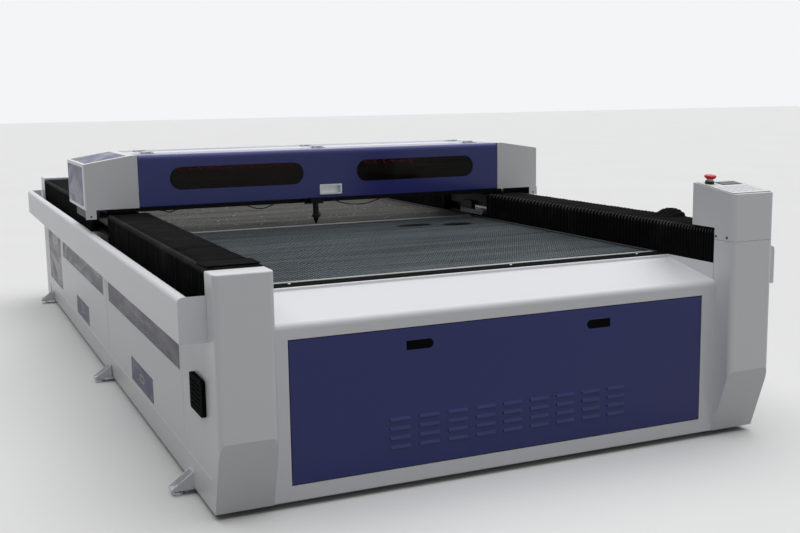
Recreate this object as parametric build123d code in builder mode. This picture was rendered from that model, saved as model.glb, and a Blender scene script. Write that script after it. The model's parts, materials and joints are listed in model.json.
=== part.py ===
from build123d import *
import math
import os

# A flat-bed laser engraving machine: a long base with a honeycomb bed, a gantry that rolls
# along it between pleated bellows, and a laser head that runs along the gantry.
# X runs across the machine, Y from its front to its back, Z up. The origin is on the floor
# under the middle of the body. All sizes are in millimetres.

# Body
machine_length = 4020.0
cap_overhang = 83.2
ground_clearance = 20.0
sheet = 2.0
rest_gap = 0.3
bend = 3.0

# Front panel and its sloped top
column_nose = 77.0
fold_height = 532.0
fold_radius = 20.0
slope_depth = 243.0
slope_top = 581.0
lip_height = 9.0
lip_width = 8.0

# Columns and control head
column_width = 168.0
column_back = 13.0
column_top = 698.0
column_kink = 238.0
column_corner = 18.0
top_edge = 5.0
head_seam = 669.0
seam = 1.0
head_top_front = 822.0
head_top_back = 849.0
head_depth = 209.0
head_underside = 707.0
rear_column_depth = 173.0
rear_column_top = 715.0

# Frame tubes
tube = 60.0
cross_tube = 50.0
bottom_rail_height = 45.0
rail_beam_width = 100.0
rail_beam_height = 130.0
rail_beam_top = 600.0
rail_beam_inset = 85.5

# Bed
bed_side_gap = 5.5
bed_bar = 20.0
bed_front_gap = 1.5
bed_rear_margin = 303.5
bed_split = 1387.0
bed_top = 595.0
honeycomb_height = 30.0
honeycomb_drop = 2.0
# The real foil cells are about 16 mm across; the solid has the same form, drawn coarser
cell_pitch = 147.0
cell_wall = 7.0
cell_depth = 12.0
cell_margin = 6.0
support_bar = 30.0
support_count = 3
front_rail_width = 50.0
front_rail_top = 592.0

# Side skins, their panels and hatches, with places along the side measured from the front panel
skirt_fold = 106.0
skirt_tuck = 6.0
skin_flange_top = 588.0
skin_split = 338.0
panel_bottom = 347.0
panel_top = 490.0
tall_panel_bottom = 150.0
strip_front = 365.0
strip_split = (1644.0, 1782.0)
strip_rear_inset = 865.0
tall_panel_insets = (767.0, 234.0)
panel_lap = 10.0
panel_gap = 2.0
hatch_bottom = 126.0
hatch_height = 89.0
hatch_length = 398.0
hatch_places = (999.0, 2441.0)
door_flange = 12.0

# Trays
tray_reach = 78.0
tray_bottom = 505.0
tray_top = 633.0
tray_lip = 26.0
tray_lip_radius = 14.0
tray_inner_wall = 25.0

# Front door
door_border = 54.5
door_bottom = 67.0
door_height = 421.0
door_depth = 18.0
door_gap = 2.5
louvre_columns = 9
louvre_rows = 4
louvre_length = 65.0
louvre_height = 9.0
louvre_rise = 5.0
louvre_pitch_x = 94.3
louvre_pitch_z = 28.0
louvre_centre_z = 177.5
latch_spacing = 620.0
latch_height_z = 434.0

# Flush latches
latch_length = 87.0
latch_width = 28.0
latch_taper = 9.0
latch_cup = 12.0
latch_play = 1.0
paddle = 2.5
latch_pin_radius = 2.5
latch_pin_inset = 7.0

# Fan filter cover
filter_length = 142.0
filter_height = 105.0
filter_depth = 12.0
filter_place = 122.0
filter_bottom = 281.0
filter_slots = 6

# Feet
foot_places = (266.0, 1710.0)
rear_foot_inset = 263.0
foot_width = 46.0
foot_reach = 68.0
foot_rise = 68.0
foot_base = 15.0
foot_plate = 5.0
foot_wall = 3.0
foot_tail = 30.0
foot_bolt_reach = 43.0
foot_pad_radius = 17.0
foot_pad_height = 8.0
foot_bolt_radius = 6.0
foot_nut_radius = 11.0
foot_nut_height = 8.0

# Exhaust spigots
rear_inset = 60.0
spigot_radius = 75.0
spigot_wall = 2.0
spigot_spacing = 800.0
spigot_height = 300.0

# Bellows
bellows_top = 705.0
bellows_bottom = 588.3
pleat_count = 44
pleat_depth = 9.0
bellows_wall = 3.0
pleat_bunching = 0.39

# Guide rails and belts of the long axis
guide_rail = 20.0
guide_rail_height = 18.0
belt_width = 20.0
belt = 1.5
pulley_radius = 17.8
pulley_flange = 3.0
pulley_flange_radius = 21.0
belt_play = 0.2
y_axis_height = 550.0
y_belt_inset = 16.0
y_drive_inset = 265.0
y_idler_place = 60.0
drive_shaft_radius = 10.0
motor = 58.0
motor_length = 90.0
gearbox_width = 80.0
running_fit = 0.08

# Gantry, in its rest place along the bed
gantry_place = 1550.0
gantry_depth = 473.0
gantry_width = 2037.4
gantry_bottom = 726.0
gantry_top = 934.0
end_cap_width = 208.0
end_cap_outer_top = 905.0
end_cap_flat = 22.0
end_cap_wall = 2.5
end_panel = 0.8
end_panel_pocket = 1.0
end_panel_border = 12.0
end_panel_front_border = 40.0
lug_width = 40.0
lug_drop = 36.0
lug_hole = 4.0
tube_bay = 151.0
beam_offset = 150.0
beam_bottom = 696.0
beam_wall = 8.0
beam_inset = 20.5
beam_port_radius = 20.0
shelf_gap = 15.0
shelf_thickness = 6.0

# Gantry covers
spine_inset = 8.0
cover_sheet = 2.0
cover_gap = 2.0
cover_corner = 18.0
cover_lip = 14.0
window_length = 565.0
window_height = 92.0
window_spacing = 805.0
window_centre_z = 836.0
pane = 3.0
pane_lap = 12.0
handle_length = 100.0
handle_height = 43.0
handle_centre_z = 763.0
handle_depth = 26.0
handle_proud = 2.0
handle_wall = 1.5
hinge_leaf = 50.0
hinge_leaf_depth = 36.0
hinge_thickness = 1.6
hinge_pin_radius = 4.0
hinge_inset = 67.7

# Gantry feet, which ride on the guide rails
leg_width = 110.0
leg_length = 410.0
leg_height = 58.0
leg_bottom = 638.0
bearing_width = 50.0
bearing_length = 70.0
bearing_spacing = 300.0
bearing_clearance = 0.3
outrigger_thickness = 5.0
outrigger_front_gap = 5.0
outrigger_rear_gap = 173.0

# Cross axis on the gantry
x_rail_height = 735.0
x_rail = 20.0
x_rail_gap = 0.7
x_belt_height = 800.0
x_belt_width = 15.0
x_belt_offset = 14.0
x_pulley_inset = 40.7
chain_shelf_height = 840.0
chain_height = 30.0
chain_depth = 40.0
chain_link = 43.0
chain_links = 26
chain_inset = 125.7

# Laser head, in its rest place along the gantry
head_x = -42.0
head_axis_offset = 70.0
carriage_width = 84.0
carriage_plate = 10.0
carriage_bottom = 694.0
carriage_top = 776.0
belt_clamp_length = 20.0
holder_size = 56.0
holder_bottom = 700.0
holder_height = 50.0
lens_tube_radius = 12.0
nozzle_radius = 17.0
nozzle_top = 645.0
nozzle_bottom = 611.0

# Laser tube and mirrors
tube_radius = 40.0
laser_tube_length = 1500.0
optical_height = 800.0
tube_offset = 66.0
mirror_radius = 15.0
mirror_tube_gap = 50.0

# Control panel and stop button
keypad_width = 156.0
keypad_length = 186.0
keypad_plate = 1.5
key_columns = 5
key_rows = 4
key_width = 20.0
key_length = 15.0
key_pitch_x = 28.0
key_pitch_y = 22.0
key_rise = 0.6
display_length = 80.0
display_width = 42.0
stop_collar_radius = 15.0
stop_collar_height = 9.0
stop_neck_radius = 11.0
stop_neck_height = 12.0
stop_cap_radius = 20.0
stop_cap_height = 11.0
stop_offset_x = -47.0
stop_offset_y = 62.0

# Worked out from the sizes above
body_width = gantry_width - 2 * cap_overhang
half_width = body_width / 2
front = -machine_length / 2
back = machine_length / 2
panel_face = front + column_nose
column_rear_face = panel_face + column_back
frame_front = column_rear_face
frame_back = back - rear_column_depth
frame_length = frame_back - frame_front
frame_middle = (frame_back + frame_front) / 2
inner_half = half_width - column_width
rail_beam_centre = half_width - rail_beam_inset
rail_beam_bottom = rail_beam_top - rail_beam_height
rear_face = back - rear_inset
bearer_top = bed_top - honeycomb_height - honeycomb_drop - support_bar - 3.0
gantry_front = panel_face + gantry_place
gantry_rear = gantry_front + gantry_depth
cap_inner = gantry_width / 2 - end_cap_width
cover_half = cap_inner - cover_gap
beam_depth = gantry_depth - beam_offset - tube_bay
beam_front = gantry_front + beam_offset
beam_rear = beam_front + beam_depth
bed_front = panel_face + slope_depth + lip_width + front_rail_width + bed_front_gap
bed_half = inner_half - bed_side_gap
bed_width = 2 * bed_half
bed_length = back - bed_rear_margin - bed_front
door_width = 2 * (inner_half - door_border)
head_slope = math.atan2(head_top_back - head_top_front, head_depth)



def folded_sheet(points, radii, width=sheet):
    """Fill the open sketch with a folded sheet's section that follows its centre line."""
    with BuildLine() as centre_line:
        FilletPolyline(*points, radius=radii)
    trace(centre_line.line, line_width=width)


def latch_outline(grow):
    """Fill the open sketch with a latch outline, square at the pin end and tapered at the other."""
    half = latch_width / 2 + grow
    tip = latch_length + grow
    flank = tip - latch_taper
    Polygon(
        (-grow, -half), (flank, -half), (tip, -half + latch_taper),
        (tip, half - latch_taper), (flank, half), (-grow, half),
        align=None,
    )


def add_latch_cup(face):
    """Add a latch cup and its pin to the open part, behind the face plane."""
    with BuildSketch(face) as shell:
        latch_outline(sheet)
    extrude(shell.sketch, amount=-latch_cup - sheet)
    with BuildSketch(face) as opening:
        latch_outline(0)
    extrude(opening.sketch, amount=-latch_cup, mode=Mode.SUBTRACT)
    pin_start = face.origin + face.x_dir * latch_pin_inset - face.z_dir * (latch_cup / 2)
    pin_start = pin_start - face.y_dir * (latch_width / 2 + sheet / 2)
    with BuildSketch(Plane(pin_start, x_dir=face.x_dir, z_dir=face.y_dir)) as pin:
        Circle(latch_pin_radius)
    extrude(pin.sketch, amount=latch_width + sheet)


def add_paddle(face):
    """Add to the open part the paddle that turns in a latch cup."""
    knuckle = latch_cup / 2 - latch_play
    with BuildSketch(face) as blade:
        latch_outline(-latch_play)
        with Locations((latch_pin_inset - knuckle / 2, 0)):
            Rectangle(latch_length, latch_width * 2, align=(Align.MAX, Align.CENTER), mode=Mode.SUBTRACT)
    extrude(blade.sketch, amount=-paddle)
    start = face.origin + face.x_dir * latch_pin_inset - face.z_dir * (latch_cup / 2)
    start = start - face.y_dir * (latch_width / 2 - latch_play)
    with BuildSketch(Plane(start, x_dir=face.x_dir, z_dir=face.y_dir)) as barrel:
        Circle(knuckle)
        Circle(latch_pin_radius + running_fit, mode=Mode.SUBTRACT)
    extrude(barrel.sketch, amount=latch_width - 2 * latch_play)


def add_bearing(x, y, z):
    """Add to the open part a carriage block that hugs a guide rail from above."""
    with Locations((x, y, z)):
        Box(bearing_width, bearing_length, leg_bottom - z, align=(Align.CENTER, Align.CENTER, Align.MIN))
        slot_height = rail_beam_top + guide_rail_height + bearing_clearance - z
        slot_width = guide_rail + 2 * bearing_clearance
        Box(
            slot_width, bearing_length, slot_height,
            align=(Align.CENTER, Align.CENTER, Align.MIN), mode=Mode.SUBTRACT,
        )


os.makedirs("parts", exist_ok=True)

# Frame: two rail beams and two bottom rails run the length of the machine, and each rail
# beam carries the pin of a belt idler at its front end
idler_y = panel_face + y_idler_place
drive_y = back - y_drive_inset
belt_x = rail_beam_centre - rail_beam_width / 2 - y_belt_inset
idler_pin_radius = 8.0
with BuildPart() as frame_long_rails:
    with Locations((-rail_beam_centre, frame_middle), (rail_beam_centre, frame_middle)):
        with Locations((0, 0, rail_beam_bottom + rail_beam_height / 2)):
            Box(rail_beam_width, frame_length, rail_beam_height)
        with Locations((0, 0, bottom_rail_height + tube / 2)):
            Box(tube, frame_length, tube)
    beam_side = rail_beam_centre - rail_beam_width / 2
    with BuildSketch(Plane.YZ.offset(-beam_side)):
        with Locations((idler_y, y_axis_height)):
            Circle(idler_pin_radius)
    extrude(amount=y_belt_inset + belt_width / 2 + pulley_flange)
    with BuildSketch(Plane.YZ.offset(beam_side)):
        with Locations((idler_y, y_axis_height)):
            Circle(idler_pin_radius)
    extrude(amount=-y_belt_inset - belt_width / 2 - pulley_flange)
frame_long_rails.part.label = "frame_long_rails"
export_step(frame_long_rails.part, "parts/frame_long_rails.step")

# Uprights, the bearers that hold the bed, the low cross tubes, and the shaft's bearing blocks
post_places = [frame_front + tube, frame_middle - frame_length / 6]
post_places = post_places + [frame_middle + frame_length / 6, frame_back - tube / 2]
first_bearer = bed_front - front_rail_width / 2
last_bearer = bed_front + bed_length - tube / 2
middle_bearer = bed_front + bed_split
bearer_places = [first_bearer, (first_bearer + middle_bearer) / 2, middle_bearer]
bearer_places = bearer_places + [middle_bearer + (last_bearer - middle_bearer) / 3]
bearer_places = bearer_places + [middle_bearer + (last_bearer - middle_bearer) * 2 / 3, last_bearer]
block_depth = drive_y - last_bearer + drive_shaft_radius * 3
with BuildPart() as frame_cross_members:
    for y in post_places:
        with Locations((-rail_beam_centre, y), (rail_beam_centre, y)):
            with Locations((0, 0, bottom_rail_height + tube)):
                post_height = rail_beam_bottom - bottom_rail_height - tube
                Box(tube, tube, post_height, align=(Align.CENTER, Align.CENTER, Align.MIN))
        with Locations((0, y, bottom_rail_height + cross_tube / 2)):
            Box(2 * rail_beam_centre - tube, cross_tube, cross_tube)
    for y in bearer_places:
        with Locations((0, y, bearer_top - tube / 2)):
            Box(2 * rail_beam_centre - rail_beam_width, tube, tube)
    for side in (-1, 1):
        with Locations((side * (bed_half - 40.0), last_bearer, bearer_top)):
            Box(30.0, block_depth, 34.0, align=(Align.CENTER, Align.MIN, Align.CENTER))
    with BuildSketch(Plane.YZ.offset(-bed_half)):
        with Locations((last_bearer, bearer_top)):
            Rectangle(tube + 2.0, 34.0, align=(Align.CENTER, Align.MIN))
        with Locations((drive_y, y_axis_height)):
            Circle(drive_shaft_radius + running_fit)
    extrude(amount=bed_width, mode=Mode.SUBTRACT)
frame_cross_members.part.label = "frame_cross_members"
export_step(frame_cross_members.part, "parts/frame_cross_members.step")

# Side skins: a folded sheet with a crease near the floor and a flange on top, and a corner
# plate in front of it. Windows are cut for the inset panels and, on the left, for the hatches
skin_front = panel_face + skin_split + sheet
skin_x = half_width - sheet / 2
body_back = back - panel_face
strip_places = ((strip_front, strip_split[0]), (strip_split[1], body_back - strip_rear_inset))
tall_place = (body_back - tall_panel_insets[0], body_back - tall_panel_insets[1])
panel_rows = []
for place in strip_places:
    panel_rows.append((place[0], place[1], panel_bottom, panel_top))
panel_rows.append((tall_place[0], tall_place[1], tall_panel_bottom, panel_top))
hatch_axis_in = 5.0
hatch_rows = []
for place in hatch_places:
    hatch_ends = (place - hatch_length / 2, place + hatch_length / 2)
    hatch_rows.append((*hatch_ends, hatch_bottom, hatch_bottom + hatch_height))
with BuildPart() as right_skin:
    with BuildSketch(Plane.XZ.offset(-skin_front)):
        folded_sheet(
            [
                (half_width - skirt_tuck - sheet / 2, ground_clearance + rest_gap),
                (skin_x, skirt_fold),
                (skin_x, skin_flange_top - sheet / 2),
                (rail_beam_centre + rail_beam_width / 2, skin_flange_top - sheet / 2),
            ],
            [bend, bend],
        )
    extrude(amount=skin_front - frame_back)
    with BuildSketch(Plane.XZ.offset(-column_rear_face)):
        folded_sheet(
            [
                (skin_x, ground_clearance),
                (skin_x, skin_flange_top - sheet / 2),
                (rail_beam_centre + rail_beam_width / 2, skin_flange_top - sheet / 2),
            ],
            [bend],
        )
    extrude(amount=column_rear_face - skin_front + sheet)
    for row in panel_rows:
        with Locations((skin_x, panel_face + row[0], row[2])):
            Box(
                4 * sheet, row[1] - row[0], row[3] - row[2],
                align=(Align.CENTER, Align.MIN, Align.MIN), mode=Mode.SUBTRACT,
            )
right_skin.part.label = "right_side_skin"
export_step(right_skin.part, "parts/right_side_skin.step")

hatch_hinge_x = -half_width + hatch_axis_in
with BuildPart() as left_skin:
    mirror(right_skin.part, about=Plane.YZ)
    for row in hatch_rows:
        with Locations((-skin_x, panel_face + row[0], row[2])):
            Box(
                4 * sheet, row[1] - row[0], row[3] - row[2],
                align=(Align.CENTER, Align.MIN, Align.MIN), mode=Mode.SUBTRACT,
            )
        hinge_z = row[2] + door_gap + hatch_axis_in
        for end in (row[0] - 6.0, row[1]):
            with Locations((-half_width + sheet, panel_face + end, hinge_z - 6.0)):
                Box(8.0, 6.0, 12.0, align=(Align.MIN, Align.MIN, Align.MIN))
        for end, way in ((row[0], 1), (row[1], -1)):
            with BuildSketch(Plane.XZ.offset(-panel_face - end)):
                with Locations((hatch_hinge_x, hinge_z)):
                    Circle(latch_pin_radius)
            extrude(amount=-way * 8.0)
left_skin.part.label = "left_side_skin"
export_step(left_skin.part, "parts/left_side_skin.step")

# Inset panels that close the windows of both side skins
with BuildPart() as side_panels:
    for side in (-1, 1):
        for row in panel_rows:
            middle_y = panel_face + (row[0] + row[1]) / 2
            middle_z = (row[2] + row[3]) / 2
            with Locations((side * (half_width - sheet * 1.5), middle_y, middle_z)):
                Box(sheet, row[1] - row[0] + 2 * panel_lap, row[3] - row[2] + 2 * panel_lap)
            with Locations((side * (half_width - sheet * 0.75), middle_y, middle_z)):
                Box(sheet / 2, row[1] - row[0] - 2 * panel_gap, row[3] - row[2] - 2 * panel_gap)
side_panels.part.label = "side_panels"
export_step(side_panels.part, "parts/side_panels.step")

# Front skin: upright, folded into a gentle slope that ends in a small lip at the bed, with a
# cheek at each end of the slope that closes the gap below the bellows, a wide opening for the
# scrap door and a pin block at each end of the opening's lower edge
door_hinge_in = 5.0
door_hinge_y = panel_face + door_hinge_in
door_hinge_z = door_bottom + door_gap + door_hinge_in
slope_end = panel_face + slope_depth
slope_rise = (slope_top - sheet / 2 - fold_height) / (slope_depth - sheet / 2)
cheek_low = fold_height + slope_rise * (column_rear_face - panel_face - sheet / 2)
with BuildPart() as front_skin:
    with BuildSketch(Plane.YZ.offset(-inner_half)):
        folded_sheet(
            [
                (panel_face + 30.0, ground_clearance + sheet / 2),
                (panel_face + sheet / 2, ground_clearance + sheet / 2),
                (panel_face + sheet / 2, fold_height),
                (slope_end, slope_top - sheet / 2),
                (slope_end + 1.0, slope_top + lip_height - sheet / 2),
                (slope_end + lip_width, slope_top + lip_height - sheet / 2),
            ],
            [bend, fold_radius, bend, bend],
        )
    extrude(amount=2 * inner_half)
    for side in (-1, 1):
        with BuildSketch(Plane.YZ.offset(side * inner_half)):
            Polygon(
                (column_rear_face, cheek_low), (slope_end, slope_top - sheet / 2),
                (slope_end, slope_top + lip_height), (column_rear_face, slope_top + lip_height),
                align=None,
            )
        extrude(amount=-side * sheet)
    with Locations((0, panel_face, door_bottom)):
        Box(
            door_width, 12.0, door_height,
            align=(Align.CENTER, Align.CENTER, Align.MIN), mode=Mode.SUBTRACT,
        )
    for side in (-1, 1):
        with Locations((side * (door_width / 2 + 4.0), panel_face + sheet, door_hinge_z)):
            Box(8.0, 9.0, 14.0, align=(Align.CENTER, Align.MIN, Align.CENTER))
        with BuildSketch(Plane.YZ.offset(side * door_width / 2)):
            with Locations((door_hinge_y, door_hinge_z)):
                Circle(latch_pin_radius)
        extrude(amount=-side * 8.0)
front_skin.part.label = "front_skin"
export_step(front_skin.part, "parts/front_skin.step")

# Rear skin: the same fold at the other end, with two exhaust spigots low down
rear_slope_end = bed_front + bed_length + rest_gap + lip_width
with BuildPart() as rear_skin:
    with BuildSketch(Plane.YZ.offset(-inner_half)):
        folded_sheet(
            [
                (rear_face - 30.0, ground_clearance + sheet / 2),
                (rear_face - sheet / 2, ground_clearance + sheet / 2),
                (rear_face - sheet / 2, fold_height),
                (rear_slope_end, slope_top - sheet / 2),
                (rear_slope_end - 1.0, slope_top + lip_height - sheet / 2),
                (rear_slope_end - lip_width, slope_top + lip_height - sheet / 2),
            ],
            [bend, fold_radius, bend, bend],
        )
    extrude(amount=2 * inner_half)
    with BuildSketch(Plane.XZ.offset(-rear_face + sheet)):
        with Locations((-spigot_spacing / 2, spigot_height), (spigot_spacing / 2, spigot_height)):
            Circle(spigot_radius)
    extrude(amount=-rear_inset - sheet)
    with BuildSketch(Plane.XZ.offset(-rear_face + sheet)):
        with Locations((-spigot_spacing / 2, spigot_height), (spigot_spacing / 2, spigot_height)):
            Circle(spigot_radius - spigot_wall)
    extrude(amount=-rear_inset - sheet, mode=Mode.SUBTRACT)
rear_skin.part.label = "rear_skin"
export_step(rear_skin.part, "parts/rear_skin.step")

# Front columns: they lean out towards the front above the floor. The right one ends lower,
# with a shallow seam below the control head
column_profile = [
    (column_rear_face, ground_clearance),
    (panel_face, ground_clearance),
    (front, column_kink),
]
with BuildPart() as front_left_column:
    with BuildSketch(Plane.YZ.offset(-half_width)):
        with BuildLine():
            Polyline(*column_profile, (front, column_top), (column_rear_face, column_top), close=True)
        make_face()
    extrude(amount=column_width)
    fillet(front_left_column.edges().filter_by(Axis.Z).group_by(Axis.Y)[0], radius=column_corner)
    fillet(front_left_column.edges().group_by(Axis.Z)[-1], radius=top_edge)
front_left_column.part.label = "front_left_column"
export_step(front_left_column.part, "parts/front_left_column.step")

with BuildPart() as front_right_column:
    with BuildSketch(Plane.YZ.offset(inner_half)):
        with BuildLine():
            Polyline(
                *column_profile,
                (front, head_seam - seam),
                (column_rear_face, head_seam - seam),
                close=True,
            )
        make_face()
    extrude(amount=column_width)
    fillet(front_right_column.edges().filter_by(Axis.Z).group_by(Axis.Y)[0], radius=column_corner)
    plinth_depth = column_rear_face - front - 12.0
    with Locations((inner_half + column_width / 2, (column_rear_face + front) / 2, head_seam - seam)):
        Box(column_width - 12.0, plinth_depth, seam, align=(Align.CENTER, Align.CENTER, Align.MIN))
front_right_column.part.label = "front_right_column"
export_step(front_right_column.part, "parts/front_right_column.step")

# Control head: a wedge-topped housing on the right column that reaches back over the bellows
head_back = front + head_depth
with BuildPart() as control_head:
    with BuildSketch(Plane.YZ.offset(inner_half)):
        with BuildLine():
            Polyline(
                (column_rear_face, head_seam),
                (front, head_seam),
                (front, head_top_front),
                (head_back, head_top_back),
                (head_back, head_underside),
                (column_rear_face, head_underside),
                close=True,
            )
        make_face()
    extrude(amount=column_width)
    fillet(control_head.edges().filter_by(Axis.Z).group_by(Axis.Y)[0], radius=column_corner)
    fillet(control_head.edges().filter_by(Axis.Z).group_by(Axis.Y)[-1], radius=top_edge * 2)
control_head.part.label = "control_head"
export_step(control_head.part, "parts/control_head.step")

# Keypad plate on the sloped top of the head, with a display and rows of low keys
head_x_centre = inner_half + column_width / 2
slope_plane = Plane(
    origin=(head_x_centre, front + head_depth / 2, (head_top_front + head_top_back) / 2),
    x_dir=(1, 0, 0),
    z_dir=(0, -math.sin(head_slope), math.cos(head_slope)),
)
keys_y = -keypad_length / 2 + 45.0 + (key_rows - 1) * key_pitch_y / 2 - 15.0
display_place = (26.5, 55.0)
with BuildPart() as keypad_panel:
    with BuildSketch(slope_plane):
        RectangleRounded(keypad_width, keypad_length, 5.0)
    extrude(amount=keypad_plate)
    with BuildSketch(slope_plane.offset(keypad_plate)):
        with Locations((0, keys_y)):
            with GridLocations(key_pitch_x, key_pitch_y, key_columns, key_rows):
                Rectangle(key_width, key_length)
        with Locations(display_place):
            Rectangle(display_length, display_width)
    extrude(amount=key_rise)
keypad_panel.part.label = "keypad_panel"
export_step(keypad_panel.part, "parts/keypad_panel.step")

# Stop button: a collar on the plate, a plunger that presses down into it, and a mushroom cap
# that twists on the plunger
press_travel = 5.0
press_rest = press_travel + 0.5
spigot = 6.0
stop_plane = Plane(
    origin=slope_plane.from_local_coords((stop_offset_x, stop_offset_y, keypad_plate)),
    x_dir=slope_plane.x_dir,
    z_dir=slope_plane.z_dir,
)
with BuildPart() as estop_collar:
    with BuildSketch(stop_plane):
        Circle(stop_collar_radius)
        Circle(stop_neck_radius + running_fit, mode=Mode.SUBTRACT)
    extrude(amount=stop_collar_height)
estop_collar.part.label = "estop_collar"
export_step(estop_collar.part, "parts/estop_collar.step")

with BuildPart() as estop_plunger:
    with BuildSketch(stop_plane.offset(press_rest)):
        Circle(stop_neck_radius)
    extrude(amount=stop_neck_height)
    with BuildSketch(stop_plane.offset(press_rest + stop_neck_height)):
        Circle(spigot)
    extrude(amount=spigot)
estop_plunger.part.label = "estop_plunger"
export_step(estop_plunger.part, "parts/estop_plunger.step")

cap_base = press_rest + stop_neck_height
with BuildPart() as estop_cap:
    with BuildSketch(stop_plane.offset(cap_base)):
        Circle(stop_neck_radius + 4.0)
    with BuildSketch(stop_plane.offset(cap_base + stop_cap_height * 0.5)):
        Circle(stop_cap_radius)
    loft()
    with BuildSketch(stop_plane.offset(cap_base + stop_cap_height * 0.5)):
        Circle(stop_cap_radius)
    extrude(amount=stop_cap_height * 0.5)
    fillet(estop_cap.faces().sort_by(Axis.Z)[-1].edges(), radius=3.0)
    with BuildSketch(stop_plane.offset(cap_base)):
        Circle(spigot + running_fit)
    extrude(amount=spigot + running_fit, mode=Mode.SUBTRACT)
estop_cap.part.label = "estop_cap"
export_step(estop_cap.part, "parts/estop_cap.step")

# Rear columns: plain boxes with rounded corners
with BuildPart() as rear_columns:
    for side in (-1, 1):
        with BuildSketch(Plane.XY.offset(ground_clearance)):
            with Locations((side * (half_width - column_width / 2), back - rear_column_depth / 2)):
                Rectangle(column_width, rear_column_depth)
        extrude(amount=rear_column_top - ground_clearance)
    fillet(rear_columns.edges().filter_by(Axis.Z).group_by(Axis.Y)[-1], radius=column_corner)
    fillet(rear_columns.edges().group_by(Axis.Z)[-1], radius=top_edge)
rear_columns.part.label = "rear_columns"
export_step(rear_columns.part, "parts/rear_columns.step")

# Trays along both sides, with a rounded outer lip and a wall at each end
tray_x = half_width + tray_reach - sheet / 2
with BuildPart() as right_tray:
    with BuildSketch(Plane.XZ.offset(-panel_face)):
        folded_sheet(
            [
                (half_width + sheet / 2, tray_bottom + tray_inner_wall),
                (half_width + sheet / 2, tray_bottom + sheet / 2),
                (tray_x, tray_bottom + sheet / 2),
                (tray_x, tray_top - sheet / 2),
                (half_width + tray_reach - tray_lip, tray_top - sheet / 2),
                (half_width + tray_reach - tray_lip, tray_top - tray_lip_radius),
            ],
            [bend, bend, tray_lip_radius, bend],
        )
    extrude(amount=panel_face - back)
    plate_corner = tray_lip_radius + sheet / 2
    for start in (panel_face, back - sheet):
        with BuildSketch(Plane.XZ.offset(-start)):
            with BuildLine():
                Polyline(
                    (half_width + sheet / 2, tray_bottom),
                    (half_width + tray_reach, tray_bottom),
                    (half_width + tray_reach, tray_top - plate_corner),
                    (half_width + tray_reach - plate_corner, tray_top),
                    (half_width + sheet / 2, tray_top),
                    close=True,
                )
            make_face()
            with Locations((half_width + tray_reach - plate_corner, tray_top - plate_corner)):
                Circle(plate_corner)
        extrude(amount=-sheet)
right_tray.part.label = "right_tray"
export_step(right_tray.part, "parts/right_tray.step")

with BuildPart() as left_tray:
    mirror(right_tray.part, about=Plane.YZ)
left_tray.part.label = "left_tray"
export_step(left_tray.part, "parts/left_tray.step")

# Foot brackets: a plate with two webs under each corner post, and levelling feet through them
foot_rows = [panel_face + place for place in foot_places]
foot_rows.append(back - rear_foot_inset)
with BuildPart() as foot_brackets:
    for side in (-1, 1):
        for y in foot_rows:
            inner_x = rail_beam_centre + foot_tail - 10.0
            reach = half_width + foot_reach - inner_x
            with Locations((side * (inner_x + reach / 2), y, foot_base)):
                Box(reach, foot_width, foot_plate, align=(Align.CENTER, Align.CENTER, Align.MIN))
            with Locations((side * (rail_beam_centre + 5.0), y, foot_base)):
                rise = bottom_rail_height - foot_base
                Box(tube - 20.0, foot_width, rise, align=(Align.CENTER, Align.CENTER, Align.MIN))
            for web in (-1, 1):
                web_start = y + web * (foot_width - foot_wall) / 2 - foot_wall / 2
                with BuildSketch(Plane.XZ.offset(-web_start)):
                    with BuildLine():
                        Polyline(
                            (side * half_width, foot_base + foot_plate),
                            (side * (half_width + foot_reach), foot_base + foot_plate),
                            (side * half_width, foot_rise),
                            close=True,
                        )
                    make_face()
                extrude(amount=-foot_wall)
            with Locations((side * half_width, y, foot_base + foot_plate)):
                wall_side = Align.MIN if side > 0 else Align.MAX
                Box(
                    foot_wall, foot_width, foot_rise - foot_base - foot_plate,
                    align=(wall_side, Align.CENTER, Align.MIN),
                )
            with Locations((side * (half_width + foot_bolt_reach), y, foot_base)):
                Cylinder(
                    foot_bolt_radius, foot_plate,
                    align=(Align.CENTER, Align.CENTER, Align.MIN), mode=Mode.SUBTRACT,
                )
foot_brackets.part.label = "foot_brackets"
export_step(foot_brackets.part, "parts/foot_brackets.step")

nut_base = foot_base + foot_plate
with BuildPart() as levelling_feet:
    foot_centres = []
    for side in (-1, 1):
        for y in foot_rows:
            foot_centres.append((side * (half_width + foot_bolt_reach), y, 0))
    with Locations(*foot_centres):
        Cylinder(foot_pad_radius, foot_pad_height, align=(Align.CENTER, Align.CENTER, Align.MIN))
        Cylinder(
            foot_bolt_radius, nut_base + foot_nut_height + 4.0,
            align=(Align.CENTER, Align.CENTER, Align.MIN),
        )
    with BuildSketch(Plane.XY.offset(nut_base)):
        with Locations(*foot_centres):
            RegularPolygon(foot_nut_radius, 6)
    extrude(amount=foot_nut_height)
levelling_feet.part.label = "levelling_feet"
export_step(levelling_feet.part, "parts/levelling_feet.step")

# Fan filter cover on the left corner plate: a slotted box with rounded corners
filter_y = panel_face + filter_place
filter_z = filter_bottom + filter_height / 2
filter_plane = Plane(origin=(-half_width, filter_y, filter_z), x_dir=(0, -1, 0), z_dir=(-1, 0, 0))
with BuildPart() as filter_cover:
    with BuildSketch(filter_plane):
        RectangleRounded(filter_length, filter_height, 12.0)
    extrude(amount=filter_depth)
    with BuildSketch(filter_plane.offset(filter_depth)):
        with GridLocations(0, filter_height / (filter_slots + 2), 1, filter_slots):
            Rectangle(filter_length - 40.0, 5.0)
    extrude(amount=-filter_depth / 2, mode=Mode.SUBTRACT)
filter_cover.part.label = "filter_cover"
export_step(filter_cover.part, "parts/filter_cover.step")

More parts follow.
